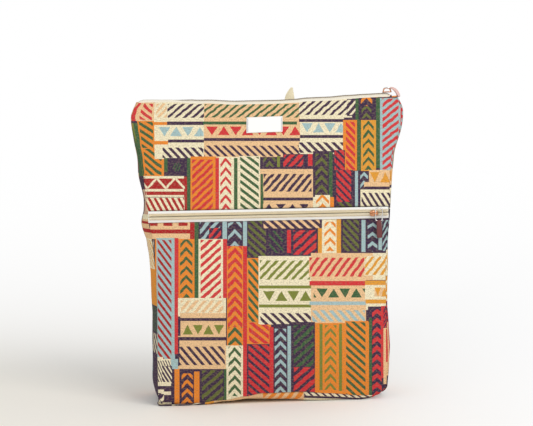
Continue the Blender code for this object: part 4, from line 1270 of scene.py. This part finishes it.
def build_pocket_pull():
    """A wire ring that hangs from the bridge, and the leather folded through it."""
    ring_low, ring_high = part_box("front_zip_pull_ring")
    tab_low, tab_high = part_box("front_zip_pull_tab")
    x = (tab_low.x + tab_high.x) / 2
    y = (ring_low.y + ring_high.y) / 2
    top = ring_high.z
    bottom = tab_high.z - POCKET_RING_BELOW_TAB_TOP
    corners = ((-1, top - RING_CORNER), (-0.5, top), (0.5, top), (1, top - RING_CORNER),
               (1, bottom + RING_CORNER), (0.6, bottom), (-0.6, bottom), (-1, bottom + RING_CORNER))
    loop = [Vector((x + POCKET_RING_HALF * share, y, z)) for share, z in corners]
    wire("front_pull_ring", "front_zip_pull_ring", SILVER, "pocket_ring", loop, POCKET_RING_WIRE, True)
    out = tab_low.y + 0.0022
    # How far below the ring's foot, half width, half thickness, depth
    stations = ((-0.0008, 0.0020, 0.0009, y), (0.0, 0.0028, 0.0016, y), (0.0030, 0.0031, 0.0014, y - 0.0002),
                (0.0100, 0.0032, 0.0013, out), (0.0170, 0.0033, 0.0013, out), (0.0196, 0.0030, 0.0012, out),
                (0.0203, 0.0020, 0.0008, out))
    sections = [rounded_ring(Vector((x, depth, bottom - below)), ACROSS_X, DEEP_Y, half, thick, 5.0)
                for below, half, thick, depth in stations]
    closed_body("front_pull_tab", "front_zip_pull_tab", MAROON, "pocket_tab", sections[::-1])


def build_top_pull():
    """Pale leather on a small ring; it bends down past the end of the chain."""
    ring_low, ring_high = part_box("top_zip_pull_ring")
    height = (ring_low.z + ring_high.z) / 2
    start = ring_low.x + 0.0012
    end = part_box("top_zip_pull_tab")[0].x + 0.0016
    corners = ((start, -0.6), (start + RING_CORNER, -1), (end - RING_CORNER, -1), (end, -0.6), (end, 0.6),
               (end - RING_CORNER, 1), (start + RING_CORNER, 1), (start, 0.6))
    loop = [Vector((x, TOP_RING_HALF * share, height)) for x, share in corners]
    wire("top_pull_ring", "top_zip_pull_ring", SILVER, "top_ring", loop, TOP_RING_WIRE, True)
    # How far past the ring's end, how far down, size
    path = ((-0.0012, 0.0, 0.3), (0.0004, 0.0002, 0.9), (0.0030, -0.0006, 1.0), (0.0060, -0.0026, 1.0),
            (0.0085, -0.0058, 1.0), (0.0100, -0.0092, 1.0), (0.0106, -0.0112, 0.7))
    sections = []
    for k, (past, drop, size) in enumerate(path):
        before = path[max(k - 1, 0)]
        after = path[min(k + 1, len(path) - 1)]
        run = Vector((after[0] - before[0], 0.0, after[1] - before[1])).normalized()
        up = Vector((-run.z, 0.0, run.x))
        lean = 0.75 * smooth(k / 4)
        wide = Vector((0, -cos(lean), 0)) - up * sin(lean)
        thick = up * cos(lean) - Vector((0, sin(lean), 0))
        centre = Vector((end + past, 0.0, height + drop))
        sections.append(rounded_ring(centre, wide, thick, 0.0028 * size, 0.0011 * size, 5.0))
    tab = closed_body("top_pull_tab", "top_zip_pull_tab", PINK, "top_tab", sections)
    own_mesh(tab)


# Straps

# Each strap's direction across, its direction up, and its foot
STRAP_PLANES = {
    "left": ((0.9701, 0.0624, -0.2344), (0.2401, -0.1080, 0.9647), (-0.108, 0.047, 0.046)),
    "right": ((0.9704, -0.0621, 0.2335), (-0.2391, -0.1076, 0.9650), (0.108, 0.047, 0.046)),
}
FLAT_ENOUGH = radians(0.5)
CORNER = radians(40)
SHARP = radians(35)
# Webbing, in millimetres: from rib to rib, and from its middle to the selvedge
RIB = 1.7
SELVEDGE = 13.2


def dress(name, node, look, bevel, body="root", side=None):
    """The solid's own shape with softened edges; with a side, each point knows its place in the webbing."""
    form = bmesh.new()
    form.from_mesh(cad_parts[node].data)
    bmesh.ops.remove_doubles(form, verts=form.verts, dist=1e-6)
    bmesh.ops.dissolve_limit(form, angle_limit=FLAT_ENOUGH, verts=form.verts, edges=form.edges)
    corners = [e for e in form.edges if len(e.link_faces) == 2 and e.calc_face_angle() > CORNER]
    bmesh.ops.bevel(form, geom=corners, offset=bevel, segments=2, profile=0.6, affect="EDGES")
    form.verts.index_update()
    verts = [v.co.copy() for v in form.verts]
    piece = add_mesh(name, node, look, verts, [[v.index for v in f.verts] for f in form.faces], body)
    form.free()
    piece.data.set_sharp_from_angle(angle=SHARP)
    if side:
        across, up, foot = (Vector(value) for value in STRAP_PLANES[side])
        web = piece.data.attributes.new("web", "FLOAT_VECTOR", "POINT")
        for vert, place in zip(piece.data.vertices, web.data):
            arm = (vert.co - foot) * 1000
            place.vector = (arm.dot(across), arm.dot(up), 0.0)


def webbing_material():
    """Cotton webbing: ribs across it, a herringbone grain and darker selvedges."""
    g = Graph("webbing_cotton", roughness=0.88)
    across, up, _ = g.split(g.attribute("web"))
    turn = up * (2 * pi / RIB)
    fold = abs(g.math("PINGPONG", across, 3.0) - 1.5)
    grain = g.math("SINE", turn) + g.math("SINE", fold * 2.4 + turn)
    shade = grain * 0.10 + 0.28
    shade = g.step(abs(across), SELVEDGE, 0.4) * 0.22 + shade
    shade = g.noise(g.join(across, up), 0.9, 2.0) * 0.25 + shade
    g.colour(g.mix(shade, (0.86, 0.78, 0.58), (0.52, 0.43, 0.28)))
    g.bump(grain, 0.3)
    return g.material


PATCH_HALF = 0.056
PATCH_TOP = 0.354
PATCH_HEIGHT = 0.024
PATCH_LIFT = 0.0044
STRAP_MIDDLE = 0.034
STITCH_INSET = 2.2
CROSS_HALF = 10
CROSS_TOP = 5
CROSS_FOOT = 15
STITCH_PITCH = 0.0042
STITCH_LENGTH = 0.0026
STITCH_RADIUS = 0.00034
STITCH_LIFT = 0.00025


def patch_place(across, down):
    """The anchor patch, which rises a little over the strap ends below it."""
    x = PATCH_HALF - across * UNIT
    level = PATCH_TOP - down * UNIT
    edge = min(PATCH_HALF - abs(x), down * UNIT, PATCH_HEIGHT - down * UNIT)
    over = smooth((0.017 - abs(abs(x) - STRAP_MIDDLE)) / 0.003)
    dip = 0.0007 * (1 - over) * smooth(edge / 0.004)
    y = back_y(x, level) + PATCH_LIFT - dip - edge_roll(edge, 0.002, 0.0016)
    return Vector((x, y, height_at(x, level)))


def stitch_row(start, end):
    """Dashes of thread along one line of patch units, as rows of small spindles."""
    verts = []
    faces = []
    span = hypot(end[0] - start[0], end[1] - start[1]) * UNIT
    count = max(1, int(span / STITCH_PITCH))
    for k in range(count):
        marks = []
        for t in (k / count, k / count + STITCH_LENGTH / span / 2, k / count + STITCH_LENGTH / span):
            place = patch_place(start[0] + (end[0] - start[0]) * t, start[1] + (end[1] - start[1]) * t)
            marks.append(place + DEEP_Y * STITCH_LIFT)
        side = (marks[2] - marks[0]).normalized().cross(DEEP_Y).normalized() * STITCH_RADIUS
        out = DEEP_Y * STITCH_RADIUS
        base = len(verts)
        verts += [marks[0], marks[1] + side, marks[1] + out, marks[1] - side, marks[1] - out, marks[2]]
        for a, b in ((1, 2), (2, 3), (3, 4), (4, 1)):
            faces += [(base, base + a, base + b), (base + 5, base + b, base + a)]
    return verts, faces


def build_patch():
    """The patch over the strap ends, with a stitched border and a crossed box on each strap."""
    wide = 2 * PATCH_HALF / UNIT
    high = PATCH_HEIGHT / UNIT
    weave("anchor_patch", "strap_anchor_patch", [field(0, 0, 100, 30, PATCH_CREAM)], (0, 0, wide, high), 1.6,
          patch_place, look=PATCH_LOOK)
    right, foot = wide - STITCH_INSET, high - STITCH_INSET
    corners = [(STITCH_INSET, STITCH_INSET), (right, STITCH_INSET), (right, foot), (STITCH_INSET, foot)]
    lines = [(corners[k], corners[(k + 1) % 4]) for k in range(4)]
    for middle in (-STRAP_MIDDLE, STRAP_MIDDLE):
        left = (PATCH_HALF - middle) / UNIT - CROSS_HALF
        right = (PATCH_HALF - middle) / UNIT + CROSS_HALF
        box = ((left, CROSS_TOP), (right, CROSS_TOP), (right, CROSS_FOOT), (left, CROSS_FOOT))
        lines += [(box[a], box[b]) for a, b in ((0, 1), (1, 2), (2, 3), (3, 0), (0, 2), (3, 1))]
    verts = []
    faces = []
    for start, end in lines:
        more, sides = stitch_row(start, end)
        faces += [tuple(k + len(verts) for k in side) for side in sides]
        verts += more
    add_mesh("anchor_stitches", "strap_anchor_patch", PATCH_THREAD, verts, faces)


def build_straps():
    for side in ("left", "right"):
        dress("strap_webbing_" + side, "shoulder_strap_" + side, STRAP, 0.0004, side=side)
        dress("tab_webbing_" + side, "ring_tab_" + side, STRAP, 0.0004, side=side)
        dress("buckle_" + side, "strap_adjuster_" + side, SILVER, 0.0005, "adjuster_" + side)
        dress("ring_wire_" + side, "strap_ring_" + side, SILVER, 0.0001)


# Floor and light

# A white glow that only the camera sees comes over the paper from here behind the bag, over this length, and
# beyond this radius
FADE_START = 0.03
FADE_LENGTH = 0.42
FLOOR_CLEAR = 0.5
FLOOR_STEPS = 48


def white_to_camera(tree, share, shader, output):
    """Mixes white light into what the camera sees directly; nothing else sees it."""
    glow = tree.nodes.new("ShaderNodeEmission")
    glow.inputs["Color"].default_value = (1.0, 1.0, 1.0, 1.0)
    glow.inputs["Strength"].default_value = 1.0
    blend = tree.nodes.new("ShaderNodeMixShader")
    tree.links.new(share, blend.inputs[0])
    tree.links.new(shader, blend.inputs[1])
    tree.links.new(glow.outputs[0], blend.inputs[2])
    tree.links.new(blend.outputs[0], output)


def floor_material():
    """Pale paper with painted shade that darkens and warms it towards the left; it keeps its shadows near the
    bag, and a white glow that only the camera sees covers it away from the bag.
    """
    g = Graph("paper", roughness=0.9)
    g.shader.inputs["Specular IOR Level"].default_value = 0.1
    across, back, _ = g.split(g.read("NewGeometry", "Position"))
    # Painted shade: the paper's colour turns warmer and darker towards the left, where shade falls on it
    painted_shade_left = (across * -0.8 + 0.66).clamped()
    g.colour(g.mix(painted_shade_left, (0.97, 0.97, 0.98), (0.97, 0.935, 0.85)))
    # Painted light: the camera-only white glow also comes in to the right of the bag, where it pales the
    # bag's shadow
    behind = g.math("MAXIMUM", across * 0.25 + back + FADE_START, across * 2.2)
    spread = g.math("SQRT", across * across + back * back)
    far = g.math("MAXIMUM", g.math("MAXIMUM", behind, spread - FLOOR_CLEAR), 0.0)
    ratio = far / FADE_LENGTH
    square = ratio * ratio
    share = square / (square + 1.0) * g.read("LightPath", "Is Camera Ray")
    output = g.tree.nodes["Material Output"].inputs["Surface"]
    white_to_camera(g.tree, share.socket, g.shader.outputs[0], output)
    return g.material


def build_floor():
    """A disc of paper, in rings."""
    turns = [2 * pi * k / FLOOR_STEPS for k in range(FLOOR_STEPS)]
    rings = [[Vector((radius * cos(turn), radius * sin(turn), 0.0)) for turn in turns]
             for radius in (0.4, 0.8, 1.6, 3.2, 6.4, 12.0)]
    verts, faces = mesh_rows(rings, closed=True)
    faces = [tuple(range(FLOOR_STEPS))] + [face[::-1] for face in faces]
    mesh = bpy.data.meshes.new("paper_floor")
    mesh.from_pydata(verts, [], faces)
    mesh.materials.append(floor_material())
    new_object("paper_floor", mesh)


LIGHT_AIM = Vector((0, 0, 0.15))


def make_light(name, place, size, power, colour):
    data = bpy.data.lights.new(name, "AREA")
    data.shape = "SQUARE"
    data.size = size
    data.energy = power
    data.color = colour
    lamp = new_object(name, data)
    lamp.location = place
    lamp.rotation_euler = (LIGHT_AIM - Vector(place)).to_track_quat("-Z", "Y").to_euler()


def light_scene():
    world = bpy.data.worlds.new("soft_room")
    world.use_nodes = True
    room = world.node_tree.nodes["Background"]
    room.inputs["Color"].default_value = (0.97, 0.98, 1.0, 1.0)
    room.inputs["Strength"].default_value = 0.62
    seen = world.node_tree.nodes.new("ShaderNodeLightPath").outputs["Is Camera Ray"]
    output = world.node_tree.nodes["World Output"].inputs["Surface"]
    white_to_camera(world.node_tree, seen, room.outputs[0], output)
    bpy.context.scene.world = world
    make_light("key", (0.9, -1.3, 1.5), 1.0, 17, (1.0, 0.97, 0.93))
    make_light("fill", (-1.2, -1.4, 0.8), 1.2, 5, (0.94, 0.97, 1.0))


# What each piece is made of, with its slot
TAPESTRY = (tapestry_material(), "tapestry")
TAPE = (flat_material("tape_white", (0.90, 0.89, 0.86), 0.85, grain=0.10), "white_tape")
TAPE_CREAM = (flat_material("tape_cream", (0.86, 0.80, 0.66), 0.85, grain=0.10), "white_tape")
COIL_PALE = (flat_material("coil_beige", (0.95, 0.84, 0.60), 0.5), "beige_coil")
COIL_DARK = (flat_material("coil_taupe", (0.30, 0.24, 0.17), 0.45), "taupe_coil")
COPPER = (flat_material("copper", (0.72, 0.34, 0.18), 0.28, metallic=1.0), "copper_metal")
SILVER = (flat_material("silver", (0.80, 0.79, 0.77), 0.22, metallic=1.0), "ring_metal")
MAROON = (flat_material("leather_maroon", (0.17, 0.035, 0.035), 0.5, grain=0.3), "leather")
PINK = (flat_material("leather_pink", (0.80, 0.52, 0.47), 0.5, grain=0.1), "leather")
LABEL = (label_material(), "label_cloth")
LOOP_CREAM = (flat_material("loop_cream", (0.88, 0.79, 0.56), 0.85, grain=0.12), "cream_webbing")
STRAP = (webbing_material(), "cream_webbing")
PATCH_LOOK = (TAPESTRY[0], "cream_webbing")
PATCH_THREAD = (flat_material("thread_brown", (0.42, 0.27, 0.12), 0.7), "cream_webbing")
COIL_THREAD = (PATCH_THREAD[0], "beige_coil")
LINING = flat_material("lining_cotton", (0.55, 0.50, 0.40), 0.9, grain=0.1)

build_front()
build_sides()
build_back()
build_base()
build_label()
build_pocket_zip()
build_top_zip()
build_loop()
build_top_slider()
build_top_pull()
build_pocket_slider()
build_pocket_pull()
build_straps()
build_patch()
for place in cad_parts["pocket_lining"].material_slots:
    place.material = LINING

make_camera()
build_floor()
light_scene()
bpy.context.scene.view_settings.view_transform = "Standard"
